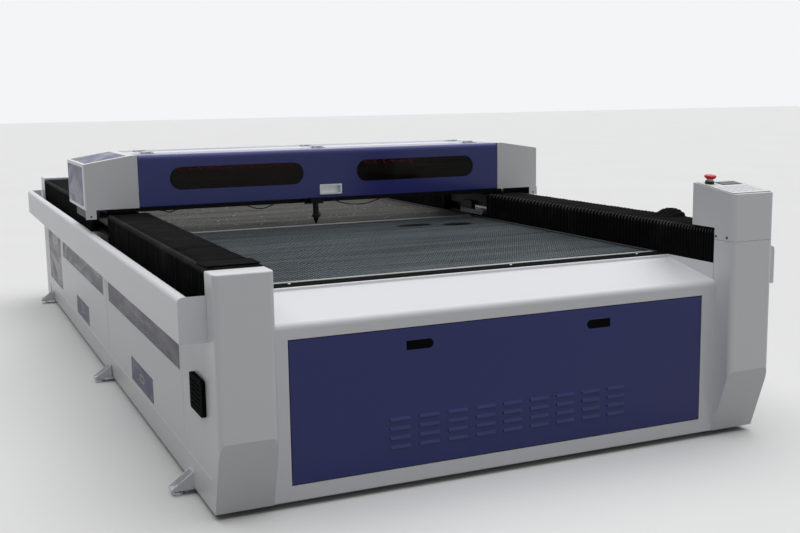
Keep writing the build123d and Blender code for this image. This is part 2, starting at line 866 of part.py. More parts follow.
# Bed: an open frame of bars with a cross bar where the two honeycomb panels meet
bar_z = bearer_top
bed_height = bed_top - bearer_top
bed_back = bed_front + bed_length
split_y = bed_front + bed_split
bays = (
    (bed_front + bed_bar, split_y - bed_bar / 2),
    (split_y + bed_bar / 2, bed_back - bed_bar),
)
panel_half = bed_half - bed_bar
with BuildPart() as bed_frame:
    with Locations((0, bed_front, bar_z)):
        Box(bed_width, bed_length, bed_height, align=(Align.CENTER, Align.MIN, Align.MIN))
    for bay in bays:
        with Locations((0, bay[0], bar_z)):
            Box(
                2 * panel_half, bay[1] - bay[0], bed_height,
                align=(Align.CENTER, Align.MIN, Align.MIN), mode=Mode.SUBTRACT,
            )
    bar_height = bed_height - honeycomb_height - honeycomb_drop
    for bay in bays:
        with Locations((0, (bay[0] + bay[1]) / 2, bar_z)):
            with GridLocations(bed_width / support_count, 0, support_count, 1):
                Box(
                    support_bar, bay[1] - bay[0], bar_height,
                    align=(Align.CENTER, Align.CENTER, Align.MIN),
                )
bed_frame.part.label = "bed_frame"
export_step(bed_frame.part, "parts/bed_frame.step")

honeycomb_base = bed_top - honeycomb_drop - honeycomb_height
panel_width = 2 * panel_half - 2 * rest_gap
cell_size = cell_pitch - cell_wall
cell_step = cell_pitch * math.cos(math.radians(30))


def cell_sketch(panel_length):
    """Six-sided cells in staggered columns, as many as the panel holds inside its margin."""
    room = panel_width - 2 * cell_margin - cell_size / math.cos(math.radians(30))
    pairs = int(room / (2 * cell_step))
    cells = int((panel_length - 2 * cell_margin - cell_size) / cell_pitch) + 1
    with BuildSketch() as sketch:
        with GridLocations(2 * cell_step, cell_pitch, pairs + 1, cells):
            RegularPolygon(cell_size / 2, 6, major_radius=False)
        with GridLocations(2 * cell_step, cell_pitch, pairs, cells - 1):
            RegularPolygon(cell_size / 2, 6, major_radius=False)
    return sketch.sketch


with BuildPart() as honeycomb_panels:
    for bay in bays:
        panel_length = bay[1] - bay[0] - 2 * rest_gap
        panel_plane = Plane(origin=(0, (bay[0] + bay[1]) / 2, honeycomb_base))
        with BuildSketch(panel_plane):
            Rectangle(panel_width, panel_length)
        extrude(amount=honeycomb_height)
        with BuildSketch(panel_plane.offset(honeycomb_height)):
            add(cell_sketch(panel_length))
        extrude(amount=-cell_depth, mode=Mode.SUBTRACT)
honeycomb_panels.part.label = "honeycomb_panels"
export_step(honeycomb_panels.part, "parts/honeycomb_panels.step")

rail_start = slope_end + lip_width
with BuildPart() as bed_front_rail:
    with Locations((0, rail_start, bearer_top)):
        Box(
            2 * inner_half, front_rail_width, front_rail_top - bearer_top,
            align=(Align.CENTER, Align.MIN, Align.MIN),
        )
    fillet(bed_front_rail.edges().filter_by(Axis.X).group_by(Axis.Z)[-1], radius=2.0)
bed_front_rail.part.label = "bed_front_rail"
export_step(bed_front_rail.part, "parts/bed_front_rail.step")

# Guide rails on the rail beams, and the toothed belts beside them
with BuildPart() as y_guide_rails:
    with Locations((-rail_beam_centre, frame_middle), (rail_beam_centre, frame_middle)):
        with Locations((0, 0, rail_beam_top)):
            Box(
                guide_rail, frame_length - 2 * tube, guide_rail_height,
                align=(Align.CENTER, Align.CENTER, Align.MIN),
            )
y_guide_rails.part.label = "y_guide_rails"
export_step(y_guide_rails.part, "parts/y_guide_rails.step")

y_belt_length = drive_y - idler_y
loop_inner = pulley_radius + belt_play
with BuildPart() as y_belts:
    for side in (-1, 1):
        with BuildSketch(Plane.YZ.offset(side * belt_x - belt_width / 2)):
            with Locations(((idler_y + drive_y) / 2, y_axis_height)):
                SlotCenterToCenter(y_belt_length, 2 * (loop_inner + belt))
                SlotCenterToCenter(y_belt_length, 2 * loop_inner, mode=Mode.SUBTRACT)
        extrude(amount=belt_width)
y_belts.part.label = "y_belts"
export_step(y_belts.part, "parts/y_belts.step")

# Pulleys of the long axis: two idlers on their pins, and the drive shaft with two pulleys
with BuildPart() as y_idlers:
    for side in (-1, 1):
        with BuildSketch(Plane.YZ.offset(side * belt_x - belt_width / 2 - pulley_flange)):
            with Locations((idler_y, y_axis_height)):
                Circle(pulley_flange_radius)
        extrude(amount=belt_width + 2 * pulley_flange)
        with BuildSketch(Plane.YZ.offset(side * belt_x - belt_width / 2)):
            with Locations((idler_y, y_axis_height)):
                Circle(pulley_flange_radius + 1.0)
                Circle(pulley_radius, mode=Mode.SUBTRACT)
        extrude(amount=belt_width, mode=Mode.SUBTRACT)
        with BuildSketch(Plane.YZ.offset(side * belt_x - belt_width)):
            with Locations((idler_y, y_axis_height)):
                Circle(idler_pin_radius + running_fit)
        extrude(amount=2 * belt_width, mode=Mode.SUBTRACT)
y_idlers.part.label = "y_idlers"
export_step(y_idlers.part, "parts/y_idlers.step")

shaft_half = belt_x + belt_width / 2 + pulley_flange
with BuildPart() as y_drive_shaft:
    with BuildSketch(Plane.YZ.offset(-shaft_half)):
        with Locations((drive_y, y_axis_height)):
            Circle(drive_shaft_radius)
    extrude(amount=2 * shaft_half)
    for side in (-1, 1):
        with BuildSketch(Plane.YZ.offset(side * belt_x - belt_width / 2)):
            with Locations((drive_y, y_axis_height)):
                Circle(pulley_radius)
        extrude(amount=belt_width)
        for start in (-belt_width / 2 - pulley_flange, belt_width / 2):
            with BuildSketch(Plane.YZ.offset(side * belt_x + start)):
                with Locations((drive_y, y_axis_height)):
                    Circle(pulley_flange_radius)
            extrude(amount=pulley_flange)
y_drive_shaft.part.label = "y_drive_shaft"
export_step(y_drive_shaft.part, "parts/y_drive_shaft.step")

# Motor of the long axis: a gearbox around the shaft, with the motor hanging behind a bearer
gearbox_front = bed_back + 1.5
gearbox_top = bearer_top + 32.0
with BuildPart() as y_motor:
    with Locations((0, gearbox_front, bearer_top)):
        Box(
            gearbox_width, drive_y + 35.0 - gearbox_front, gearbox_top - bearer_top,
            align=(Align.CENTER, Align.MIN, Align.MIN),
        )
    with Locations((0, last_bearer + tube / 2, bearer_top - motor_length)):
        Box(motor, motor - 15.0, motor_length, align=(Align.CENTER, Align.MIN, Align.MIN))
    with BuildSketch(Plane.YZ.offset(-gearbox_width)):
        with Locations((drive_y, y_axis_height)):
            Circle(drive_shaft_radius + running_fit)
    extrude(amount=2 * gearbox_width, mode=Mode.SUBTRACT)
y_motor.part.label = "y_motor"
export_step(y_motor.part, "parts/y_motor.step")


def pleat_line(start, end, inner, outer, count):
    """Return the zigzag points of a bellows, packed tighter near its fixed end."""
    points = []
    for step in range(2 * count + 1):
        share = step / (2 * count)
        along = (1 - pleat_bunching) * share + pleat_bunching * share * share
        level = outer if step % 2 else inner
        points.append((start + (end - start) * along, level))
    return points


def add_bellows(start, end, count):
    """Fill the open part with one right-hand bellows from its fixed end to its moving end."""
    top_points = pleat_line(start, end, bellows_top - pleat_depth, bellows_top, count)
    left_points = pleat_line(start, end, inner_half + pleat_depth, inner_half + rest_gap, count)
    right_points = pleat_line(start, end, half_width - pleat_depth, half_width, count)
    with BuildSketch(Plane.YZ.offset(inner_half)) as side_view:
        with BuildLine() as side_line:
            Polyline(*top_points, (end, bellows_bottom), (start, bellows_bottom), close=True)
        make_face(side_line.line)
    extrude(side_view.sketch, amount=column_width)
    plan_points = []
    for point in right_points:
        plan_points.append((point[1], point[0]))
    for point in reversed(left_points):
        plan_points.append((point[1], point[0]))
    with BuildSketch(Plane.XY.offset(bellows_bottom)) as plan_view:
        with BuildLine() as plan_line:
            Polyline(*plan_points, close=True)
        make_face(plan_line.line)
    extrude(plan_view.sketch, amount=bellows_top - bellows_bottom + 1.0, mode=Mode.INTERSECT)
    thick = pleat_depth + bellows_wall
    with Locations((inner_half + column_width / 2, (start + end) / 2, bellows_bottom)):
        Box(
            column_width - 2 * thick, abs(end - start), bellows_top - thick - bellows_bottom,
            align=(Align.CENTER, Align.CENTER, Align.MIN), mode=Mode.SUBTRACT,
        )


# Bellows over the guide rails, two in front of the gantry and two behind it
with BuildPart() as front_right_bellows:
    add_bellows(column_rear_face, gantry_front, pleat_count)
front_right_bellows.part.label = "front_right_bellows"
export_step(front_right_bellows.part, "parts/front_right_bellows.step")

with BuildPart() as front_left_bellows:
    mirror(front_right_bellows.part, about=Plane.YZ)
front_left_bellows.part.label = "front_left_bellows"
export_step(front_left_bellows.part, "parts/front_left_bellows.step")

with BuildPart() as rear_right_bellows:
    add_bellows(frame_back, gantry_rear, pleat_count)
rear_right_bellows.part.label = "rear_right_bellows"
export_step(rear_right_bellows.part, "parts/rear_right_bellows.step")

with BuildPart() as rear_left_bellows:
    mirror(rear_right_bellows.part, about=Plane.YZ)
rear_left_bellows.part.label = "rear_left_bellows"
export_step(rear_left_bellows.part, "parts/rear_left_bellows.step")

# Front door: a shallow folded tray with raised louvres and two latch cups, hinged low
leaf_bottom = door_bottom + door_gap
leaf_width = door_width - 2 * door_gap
leaf_height = door_height - 2 * door_gap
latch_faces = []
for side in (-1, 1):
    square_end = side * (latch_spacing / 2 + latch_length / 2)
    latch_origin = (square_end, panel_face, latch_height_z)
    latch_faces.append(Plane(origin=latch_origin, x_dir=(-side, 0, 0), z_dir=(0, -1, 0)))
louvre_low = louvre_centre_z - (louvre_rows - 1) * louvre_pitch_z / 2
with BuildPart() as front_door:
    with Locations((0, panel_face, leaf_bottom)):
        Box(leaf_width, door_depth, leaf_height, align=(Align.CENTER, Align.MIN, Align.MIN))
    with Locations((0, panel_face + sheet, leaf_bottom + sheet)):
        Box(
            leaf_width - 2 * sheet, door_depth, leaf_height - 2 * sheet,
            align=(Align.CENTER, Align.MIN, Align.MIN), mode=Mode.SUBTRACT,
        )
    for face in latch_faces:
        add_latch_cup(face)
    with BuildSketch(Plane.YZ.offset(-leaf_width / 2)):
        with Locations((door_hinge_y, door_hinge_z)):
            Circle(latch_pin_radius + running_fit)
    extrude(amount=leaf_width, mode=Mode.SUBTRACT)
    louvre_x = -(louvre_columns - 1) * louvre_pitch_x / 2
    for column in range(louvre_columns):
        with BuildSketch(Plane.YZ.offset(louvre_x + column * louvre_pitch_x - louvre_length / 2)):
            for row in range(louvre_rows):
                louvre_z = louvre_low + row * louvre_pitch_z
                with BuildLine():
                    Polyline(
                        (panel_face, louvre_z + louvre_height / 2),
                        (panel_face - louvre_rise, louvre_z - louvre_height / 2),
                        (panel_face + 1.0, louvre_z - louvre_height / 2),
                        (panel_face + 1.0, louvre_z + louvre_height / 2),
                        close=True,
                    )
                make_face()
        extrude(amount=louvre_length)
front_door.part.label = "front_door"
export_step(front_door.part, "parts/front_door.step")

with BuildPart() as front_door_left_latch:
    add_paddle(latch_faces[0])
front_door_left_latch.part.label = "front_door_left_latch"
export_step(front_door_left_latch.part, "parts/front_door_left_latch.step")

with BuildPart() as front_door_right_latch:
    add_paddle(latch_faces[1])
front_door_right_latch.part.label = "front_door_right_latch"
export_step(front_door_right_latch.part, "parts/front_door_right_latch.step")

# Hatches in the left side: small folded doors hinged low, each with one latch
hatch_faces = []
for row in hatch_rows:
    latch_y = panel_face + (row[0] + row[1]) / 2 + latch_length / 2
    latch_origin = (-half_width, latch_y, row[2] + hatch_height / 2)
    hatch_faces.append(Plane(origin=latch_origin, x_dir=(0, -1, 0), z_dir=(-1, 0, 0)))


def add_hatch(row, face):
    """Fill the open part with one hatch door, its latch cup and its hinge holes."""
    length = row[1] - row[0] - 2 * door_gap
    height = row[3] - row[2] - 2 * door_gap
    middle = panel_face + (row[0] + row[1]) / 2
    with Locations((-half_width, middle, row[2] + door_gap)):
        Box(door_flange, length, height, align=(Align.MIN, Align.CENTER, Align.MIN))
    with Locations((-half_width + sheet, middle, row[2] + door_gap + sheet)):
        Box(
            door_flange, length - 2 * sheet, height - 2 * sheet,
            align=(Align.MIN, Align.CENTER, Align.MIN), mode=Mode.SUBTRACT,
        )
    add_latch_cup(face)
    with BuildSketch(Plane.XZ.offset(-middle - length / 2)) as hole:
        with Locations((hatch_hinge_x, row[2] + door_gap + hatch_axis_in)):
            Circle(latch_pin_radius + running_fit)
    extrude(hole.sketch, amount=length, mode=Mode.SUBTRACT)


with BuildPart() as front_hatch:
    add_hatch(hatch_rows[0], hatch_faces[0])
front_hatch.part.label = "front_hatch"
export_step(front_hatch.part, "parts/front_hatch.step")

with BuildPart() as rear_hatch:
    add_hatch(hatch_rows[1], hatch_faces[1])
rear_hatch.part.label = "rear_hatch"
export_step(rear_hatch.part, "parts/rear_hatch.step")

with BuildPart() as front_hatch_latch:
    add_paddle(hatch_faces[0])
front_hatch_latch.part.label = "front_hatch_latch"
export_step(front_hatch_latch.part, "parts/front_hatch_latch.step")

with BuildPart() as rear_hatch_latch:
    add_paddle(hatch_faces[1])
rear_hatch_latch.part.label = "rear_hatch_latch"
export_step(rear_hatch_latch.part, "parts/rear_hatch_latch.step")

# Gantry beam: a box tube across the machine with chamfered upper corners, a shelf behind for
# the laser tube, a shelf in front for the cable chain, and the pin of the belt idler
beam_top = gantry_top - end_cap_wall
beam_half = half_width - beam_inset
beam_length = 2 * beam_half
shelf_depth = tube_bay - shelf_gap
x_pulley_reach = cap_inner - x_pulley_inset
mirror_place_x = laser_tube_length / 2 + mirror_tube_gap
chain_left_end = cap_inner - chain_inset
chain_shelf_end = beam_front - chain_depth - 62.0
x_belt_y = beam_front - x_belt_offset
pin_radius = 6.0
tube_y = beam_rear + tube_offset
saddle_top = optical_height - tube_radius * 0.6
with BuildPart() as gantry_beam:
    with BuildSketch(Plane.XZ.offset(-beam_front)):
        with BuildLine():
            Polyline(
                (-beam_half, beam_bottom),
                (beam_half, beam_bottom),
                (beam_half, end_cap_outer_top),
                (cap_inner + end_cap_flat, beam_top),
                (-cap_inner - end_cap_flat, beam_top),
                (-beam_half, end_cap_outer_top),
                close=True,
            )
        make_face()
    extrude(amount=-beam_depth)
    cavity_height = end_cap_outer_top - beam_bottom - 2 * beam_wall
    with Locations((0, (beam_front + beam_rear) / 2, beam_bottom + beam_wall)):
        Box(
            beam_length, beam_depth - 2 * beam_wall, cavity_height,
            align=(Align.CENTER, Align.CENTER, Align.MIN), mode=Mode.SUBTRACT,
        )
    with BuildSketch(Plane.XZ.offset(-beam_front)):
        with Locations((-mirror_place_x, optical_height)):
            Circle(beam_port_radius)
    extrude(amount=-beam_depth, mode=Mode.SUBTRACT)
    with BuildSketch(Plane.XZ.offset(-beam_front)):
        with Locations((x_pulley_reach, x_belt_height)):
            Circle(pin_radius + 2.0)
    extrude(amount=-beam_wall, mode=Mode.SUBTRACT)
    with Locations((0, beam_rear, beam_bottom)):
        Box(
            2 * mirror_place_x, shelf_depth, shelf_thickness,
            align=(Align.CENTER, Align.MIN, Align.MIN),
        )
    with Locations((0, beam_front, chain_shelf_height)):
        Box(
            2 * chain_left_end + 30.0, beam_front - chain_shelf_end, shelf_thickness / 2,
            align=(Align.CENTER, Align.MAX, Align.MIN),
        )
    with BuildSketch(Plane.XZ.offset(-beam_front)):
        with Locations((-x_pulley_reach, x_belt_height)):
            Circle(pin_radius)
    extrude(amount=x_belt_offset + x_belt_width + pulley_flange)
    for place in (-0.35, 0.35):
        with Locations((place * laser_tube_length, tube_y, beam_bottom + shelf_thickness)):
            Box(
                20.0, tube_radius * 2, saddle_top - beam_bottom - shelf_thickness,
                align=(Align.CENTER, Align.CENTER, Align.MIN),
            )
    with BuildSketch(Plane.YZ.offset(-laser_tube_length / 2)):
        with Locations((tube_y, optical_height)):
            Circle(tube_radius)
    extrude(amount=laser_tube_length, mode=Mode.SUBTRACT)
gantry_beam.part.label = "gantry_beam"
export_step(gantry_beam.part, "parts/gantry_beam.step")

# End caps: hollow housings with a sloped outer shoulder, shallow pockets for the inset panels,
# and an ear with a hole folded down at the front outer corner
cap_half = gantry_width / 2
cap_outline = [
    (cap_inner, gantry_bottom),
    (cap_half, gantry_bottom),
    (cap_half, end_cap_outer_top),
    (cap_inner + end_cap_flat, gantry_top),
    (cap_inner, gantry_top),
]
shoulder_run = end_cap_width - end_cap_flat
shoulder_angle = math.degrees(math.atan2(gantry_top - end_cap_outer_top, shoulder_run))
shoulder_length = math.hypot(gantry_top - end_cap_outer_top, shoulder_run)
gantry_middle = (gantry_front + gantry_rear) / 2
shoulder_plane = Plane(
    origin=(
        cap_inner + end_cap_flat + shoulder_run / 2,
        gantry_middle,
        (gantry_top + end_cap_outer_top) / 2,
    ),
    x_dir=(0, 1, 0),
    z_dir=(math.sin(math.radians(shoulder_angle)), 0, math.cos(math.radians(shoulder_angle))),
)
end_face_height = end_cap_outer_top - gantry_bottom
end_plane = Plane(
    origin=(cap_half, gantry_middle, gantry_bottom + end_face_height / 2),
    x_dir=(0, 1, 0),
    z_dir=(1, 0, 0),
)
panel_run = gantry_depth - end_panel_border - end_panel_front_border
panel_shift = (end_panel_front_border - end_panel_border) / 2
with BuildPart() as gantry_right_end:
    with BuildSketch(Plane.XZ.offset(-gantry_front)):
        with BuildLine():
            Polyline(*cap_outline, close=True)
        make_face()
    extrude(amount=-gantry_depth)
    fillet(gantry_right_end.edges().filter_by(Axis.Z).group_by(Axis.X)[-1], radius=8.0)
    with BuildSketch(Plane.XZ.offset(-gantry_front - end_cap_wall)):
        with BuildLine():
            Polyline(
                (cap_inner, gantry_bottom),
                (cap_half - end_cap_wall, gantry_bottom),
                (cap_half - end_cap_wall, end_cap_outer_top - end_cap_wall),
                (cap_inner + end_cap_flat, gantry_top - end_cap_wall),
                (cap_inner, gantry_top - end_cap_wall),
                close=True,
            )
        make_face()
    extrude(amount=-gantry_depth + 2 * end_cap_wall, mode=Mode.SUBTRACT)
    with BuildSketch(shoulder_plane):
        with Locations((panel_shift, 0)):
            Rectangle(panel_run, shoulder_length - 2 * end_panel_border)
    extrude(amount=-end_panel_pocket, mode=Mode.SUBTRACT)
    with BuildSketch(end_plane):
        with Locations((panel_shift, 0)):
            Rectangle(panel_run, end_face_height - 2 * end_panel_border)
    extrude(amount=-end_panel_pocket, mode=Mode.SUBTRACT)
    with BuildSketch(Plane.XZ.offset(-gantry_front)):
        with Locations((cap_half - lug_width / 2, gantry_bottom - lug_drop / 2 + 0.5)):
            Rectangle(lug_width, lug_drop + 1.0)
        with Locations((cap_half - lug_width / 2, gantry_bottom - lug_drop * 0.7)):
            Circle(lug_hole, mode=Mode.SUBTRACT)
    extrude(amount=-end_cap_wall)
gantry_right_end.part.label = "gantry_right_end"
export_step(gantry_right_end.part, "parts/gantry_right_end.step")

with BuildPart() as gantry_left_end:
    mirror(gantry_right_end.part, about=Plane.YZ)
gantry_left_end.part.label = "gantry_left_end"
export_step(gantry_left_end.part, "parts/gantry_left_end.step")

with BuildPart() as right_end_panels:
    with BuildSketch(shoulder_plane.offset(-end_panel_pocket)):
        with Locations((panel_shift, 0)):
            Rectangle(panel_run - rest_gap, shoulder_length - 2 * end_panel_border - rest_gap)
    extrude(amount=end_panel)
    with BuildSketch(end_plane.offset(-end_panel_pocket)):
        with Locations((panel_shift, 0)):
            Rectangle(panel_run - rest_gap, end_face_height - 2 * end_panel_border - rest_gap)
    extrude(amount=end_panel)
with BuildPart() as gantry_end_panels:
    add(right_end_panels.part)
    mirror(right_end_panels.part, about=Plane.YZ)
gantry_end_panels.part.label = "gantry_end_panels"
export_step(gantry_end_panels.part, "parts/gantry_end_panels.step")

# Gantry feet: a leg under each end of the beam with two blocks on the guide rail, a clamp that
# reaches down to the belt, end plates for the bellows, and an outrigger under the end cap
outrigger_length = gantry_depth - outrigger_front_gap - outrigger_rear_gap
leg_front_y = gantry_front + (gantry_depth - leg_length) / 2
leg_rear_y = leg_front_y + leg_length
bearing_bottom = rail_beam_top + 6.0
leg_inner = rail_beam_centre - leg_width / 2
leg_outer = rail_beam_centre + leg_width / 2
plate = 3.0
clamp_top = leg_bottom + 20.0
clamp_bottom = y_axis_height + loop_inner + belt + belt_play
wing_x = cap_half - 6.5
with BuildPart() as right_foot:
    with Locations((rail_beam_centre, leg_front_y, leg_bottom)):
        Box(leg_width, leg_length, leg_height, align=(Align.CENTER, Align.MIN, Align.MIN))
    for shift in (-bearing_spacing / 2, bearing_spacing / 2):
        add_bearing(rail_beam_centre, (leg_front_y + leg_rear_y) / 2 + shift, bearing_bottom)
    with Locations((belt_x, gantry_middle, clamp_bottom)):
        Box(belt_width, 100.0, clamp_top - clamp_bottom, align=(Align.CENTER, Align.CENTER, Align.MIN))
    with Locations(((belt_x + leg_inner) / 2 + 2.0, gantry_middle, leg_bottom)):
        Box(
            leg_inner - belt_x + 4.0, 100.0, clamp_top - leg_bottom,
            align=(Align.CENTER, Align.CENTER, Align.MIN),
        )
    for start in (gantry_front, gantry_rear - plate):
        with Locations((rail_beam_centre, start, rail_beam_top + guide_rail_height + 4.0)):
            Box(column_width - 3.0, plate, 80.0, align=(Align.CENTER, Align.MIN, Align.MIN))
    with Locations((rail_beam_centre, gantry_front, leg_bottom + 10.0)):
        Box(leg_width / 2, gantry_depth, leg_height - 20.0, align=(Align.CENTER, Align.MIN, Align.MIN))
    with Locations((leg_outer, gantry_front + outrigger_front_gap, beam_bottom - outrigger_thickness)):
        Box(
            wing_x - leg_outer, outrigger_length, outrigger_thickness,
            align=(Align.MIN, Align.MIN, Align.MIN),
        )
    with Locations((wing_x, gantry_front + outrigger_front_gap, beam_bottom - outrigger_thickness)):
        Box(
            outrigger_thickness, outrigger_length, gantry_bottom - beam_bottom + outrigger_thickness,
            align=(Align.MAX, Align.MIN, Align.MIN),
        )
with BuildPart() as gantry_feet:
    add(right_foot.part)
    mirror(right_foot.part, about=Plane.YZ)
gantry_feet.part.label = "gantry_feet"
export_step(gantry_feet.part, "parts/gantry_feet.step")

# Covers of the gantry: a spine on the beam, and a front and a rear cover hinged along it.
# Each hinge has two fixed knuckles with a pin and one moving knuckle between them
spine_width = beam_depth - 2 * spine_inset
spine_front = beam_front + spine_inset
spine_rear = spine_front + spine_width
hinge_z = gantry_top + hinge_pin_radius + 0.1
knuckle = hinge_leaf / 3
hinge_places = (hinge_inset - cover_half, 0, cover_half - hinge_inset)
hinge_pin = 1.8


def add_hinge_leaves(line_y, way, fixed):
    """Add to the open part one half of each hinge; way is the side its leaf lies on."""
    for x in hinge_places:
        leaf_side = Align.MIN if way > 0 else Align.MAX
        with Locations((x, line_y + way * cover_gap / 2, gantry_top)):
            Box(
                hinge_leaf, hinge_leaf_depth, hinge_thickness,
                align=(Align.CENTER, leaf_side, Align.MIN),
            )
        for barrel in (-1, 0, 1):
            if (barrel == 0) != fixed:
                start = x + (barrel - 0.5) * knuckle + rest_gap
                with BuildSketch(Plane.YZ.offset(start)) as ring:
                    with Locations((line_y, hinge_z)):
                        Circle(hinge_pin_radius)
                extrude(ring.sketch, amount=knuckle - 2 * rest_gap)
            else:
                start = x + (barrel - 0.5) * knuckle
                with BuildSketch(Plane.YZ.offset(start)) as relief:
                    with Locations((line_y, hinge_z)):
                        Circle(hinge_pin_radius + rest_gap)
                extrude(relief.sketch, amount=knuckle, mode=Mode.SUBTRACT)
        with BuildSketch(Plane.YZ.offset(x - hinge_leaf / 2 + rest_gap)) as pin:
            with Locations((line_y, hinge_z)):
                Circle(hinge_pin if fixed else hinge_pin + running_fit)
        pin_mode = Mode.ADD if fixed else Mode.SUBTRACT
        extrude(pin.sketch, amount=hinge_leaf - 2 * rest_gap, mode=pin_mode)


with BuildPart() as gantry_top_spine:
    with Locations((0, (spine_front + spine_rear) / 2, beam_top)):
        Box(
            2 * (cap_inner - cover_gap), spine_width - cover_gap, gantry_top - beam_top,
            align=(Align.CENTER, Align.CENTER, Align.MIN),
        )
    add_hinge_leaves(spine_front, 1, True)
    add_hinge_leaves(spine_rear, -1, True)
gantry_top_spine.part.label = "gantry_top"
export_step(gantry_top_spine.part, "parts/gantry_top.step")

handle_hole = 5.0
with BuildPart() as gantry_front_cover:
    with BuildSketch(Plane.YZ.offset(-cover_half)):
        folded_sheet(
            [
                (gantry_front + cover_lip, gantry_bottom + cover_sheet / 2),
                (gantry_front + cover_sheet / 2, gantry_bottom + cover_sheet / 2),
                (gantry_front + cover_sheet / 2, gantry_top - cover_sheet / 2),
                (spine_front - cover_gap / 2, gantry_top - cover_sheet / 2),
            ],
            [bend, cover_corner],
            cover_sheet,
        )
    extrude(amount=2 * cover_half)
    with BuildSketch(Plane.XZ.offset(-gantry_front)):
        with Locations((-window_spacing / 2, window_centre_z), (window_spacing / 2, window_centre_z)):
            SlotOverall(window_length, window_height)
        with Locations((0, handle_centre_z)):
            Rectangle(handle_length - 2 * handle_hole, handle_height - 2 * handle_hole)
    extrude(amount=-cover_sheet * 2, mode=Mode.SUBTRACT)
    add_hinge_leaves(spine_front, -1, False)
gantry_front_cover.part.label = "gantry_front_cover"
export_step(gantry_front_cover.part, "parts/gantry_front_cover.step")

with BuildPart() as cover_windows:
    with BuildSketch(Plane.XZ.offset(-gantry_front - cover_sheet)):
        with Locations((-window_spacing / 2, window_centre_z), (window_spacing / 2, window_centre_z)):
            SlotOverall(window_length + 2 * pane_lap, window_height + 2 * pane_lap)
    extrude(amount=-pane)
cover_windows.part.label = "cover_windows"
export_step(cover_windows.part, "parts/cover_windows.step")

with BuildPart() as cover_handle:
    with BuildSketch(Plane.XZ.offset(-gantry_front)):
        with Locations((0, handle_centre_z)):
            RectangleRounded(handle_length, handle_height, 4.0)
    extrude(amount=handle_proud)
    with BuildSketch(Plane.XZ.offset(-gantry_front)):
        with Locations((0, handle_centre_z)):
            Rectangle(
                handle_length - 2 * handle_hole - rest_gap,
                handle_height - 2 * handle_hole - rest_gap,
            )
    extrude(amount=-handle_depth)
    with BuildSketch(Plane.XZ.offset(-gantry_front + handle_proud)):
        with Locations((0, handle_centre_z)):
            Rectangle(
                handle_length - 2 * handle_hole - 2 * handle_wall,
                handle_height - 2 * handle_hole - 2 * handle_wall,
            )
    extrude(amount=-handle_depth - handle_proud + handle_wall, mode=Mode.SUBTRACT)
cover_handle.part.label = "cover_handle"
export_step(cover_handle.part, "parts/cover_handle.step")

with BuildPart() as gantry_rear_cover:
    with BuildSketch(Plane.YZ.offset(-cover_half)):
        folded_sheet(
            [
                (gantry_rear - cover_lip, gantry_bottom + cover_sheet / 2),
                (gantry_rear - cover_sheet / 2, gantry_bottom + cover_sheet / 2),
                (gantry_rear - cover_sheet / 2, gantry_top - cover_sheet / 2),
                (spine_rear + cover_gap / 2, gantry_top - cover_sheet / 2),
            ],
            [bend, cover_corner],
            cover_sheet,
        )
    extrude(amount=2 * cover_half)
    add_hinge_leaves(spine_rear, 1, False)
gantry_rear_cover.part.label = "gantry_rear_cover"
export_step(gantry_rear_cover.part, "parts/gantry_rear_cover.step")

# Cross axis: a guide rail on the front of the beam, a belt around two pulleys, and a motor
# inside the beam whose shaft comes out through the front wall
x_rail_face = beam_front - x_rail
x_rail_length = 2 * (cap_inner - x_rail_gap)
with BuildPart() as x_guide_rail:
    with Locations((0, x_rail_face, x_rail_height)):
        Box(x_rail_length, x_rail, x_rail, align=(Align.CENTER, Align.MIN, Align.CENTER))
x_guide_rail.part.label = "x_guide_rail"
export_step(x_guide_rail.part, "parts/x_guide_rail.step")

with BuildPart() as x_belt:
    with BuildSketch(Plane.XZ.offset(-x_belt_y)):
        with Locations((0, x_belt_height)):
            SlotCenterToCenter(2 * x_pulley_reach, 2 * (loop_inner + belt))
            SlotCenterToCenter(2 * x_pulley_reach, 2 * loop_inner, mode=Mode.SUBTRACT)
    extrude(amount=x_belt_width)
x_belt.part.label = "x_belt"
export_step(x_belt.part, "parts/x_belt.step")

motor_shaft = 4.0
with BuildPart() as x_motor:
    with Locations((x_pulley_reach, beam_front + beam_wall, x_belt_height)):
        Box(motor, motor_length - 20.0, motor, align=(Align.CENTER, Align.MIN, Align.CENTER))
    with BuildSketch(Plane.XZ.offset(-beam_front - beam_wall)):
        with Locations((x_pulley_reach, x_belt_height)):
            Circle(motor_shaft + running_fit)
    extrude(amount=-20.0, mode=Mode.SUBTRACT)
x_motor.part.label = "x_motor"
export_step(x_motor.part, "parts/x_motor.step")


def add_cross_pulley(x):
    """Fill the open part with a flanged pulley of the cross axis."""
    for start, length, radius in (
        (x_belt_y + rest_gap + pulley_flange, pulley_flange, pulley_flange_radius),
        (x_belt_y + rest_gap, x_belt_width + 2 * rest_gap, pulley_radius),
        (x_belt_y - x_belt_width - rest_gap, pulley_flange, pulley_flange_radius),
    ):
        with BuildSketch(Plane.XZ.offset(-start)) as disc:
            with Locations((x, x_belt_height)):
                Circle(radius)
        extrude(disc.sketch, amount=length)


with BuildPart() as x_drive_pulley:
    add_cross_pulley(x_pulley_reach)
    with BuildSketch(Plane.XZ.offset(-beam_front - beam_wall - 18.0)):
        with Locations((x_pulley_reach, x_belt_height)):
            Circle(motor_shaft)
    extrude(amount=beam_wall + 18.0 + x_belt_offset)
x_drive_pulley.part.label = "x_drive_pulley"
export_step(x_drive_pulley.part, "parts/x_drive_pulley.step")

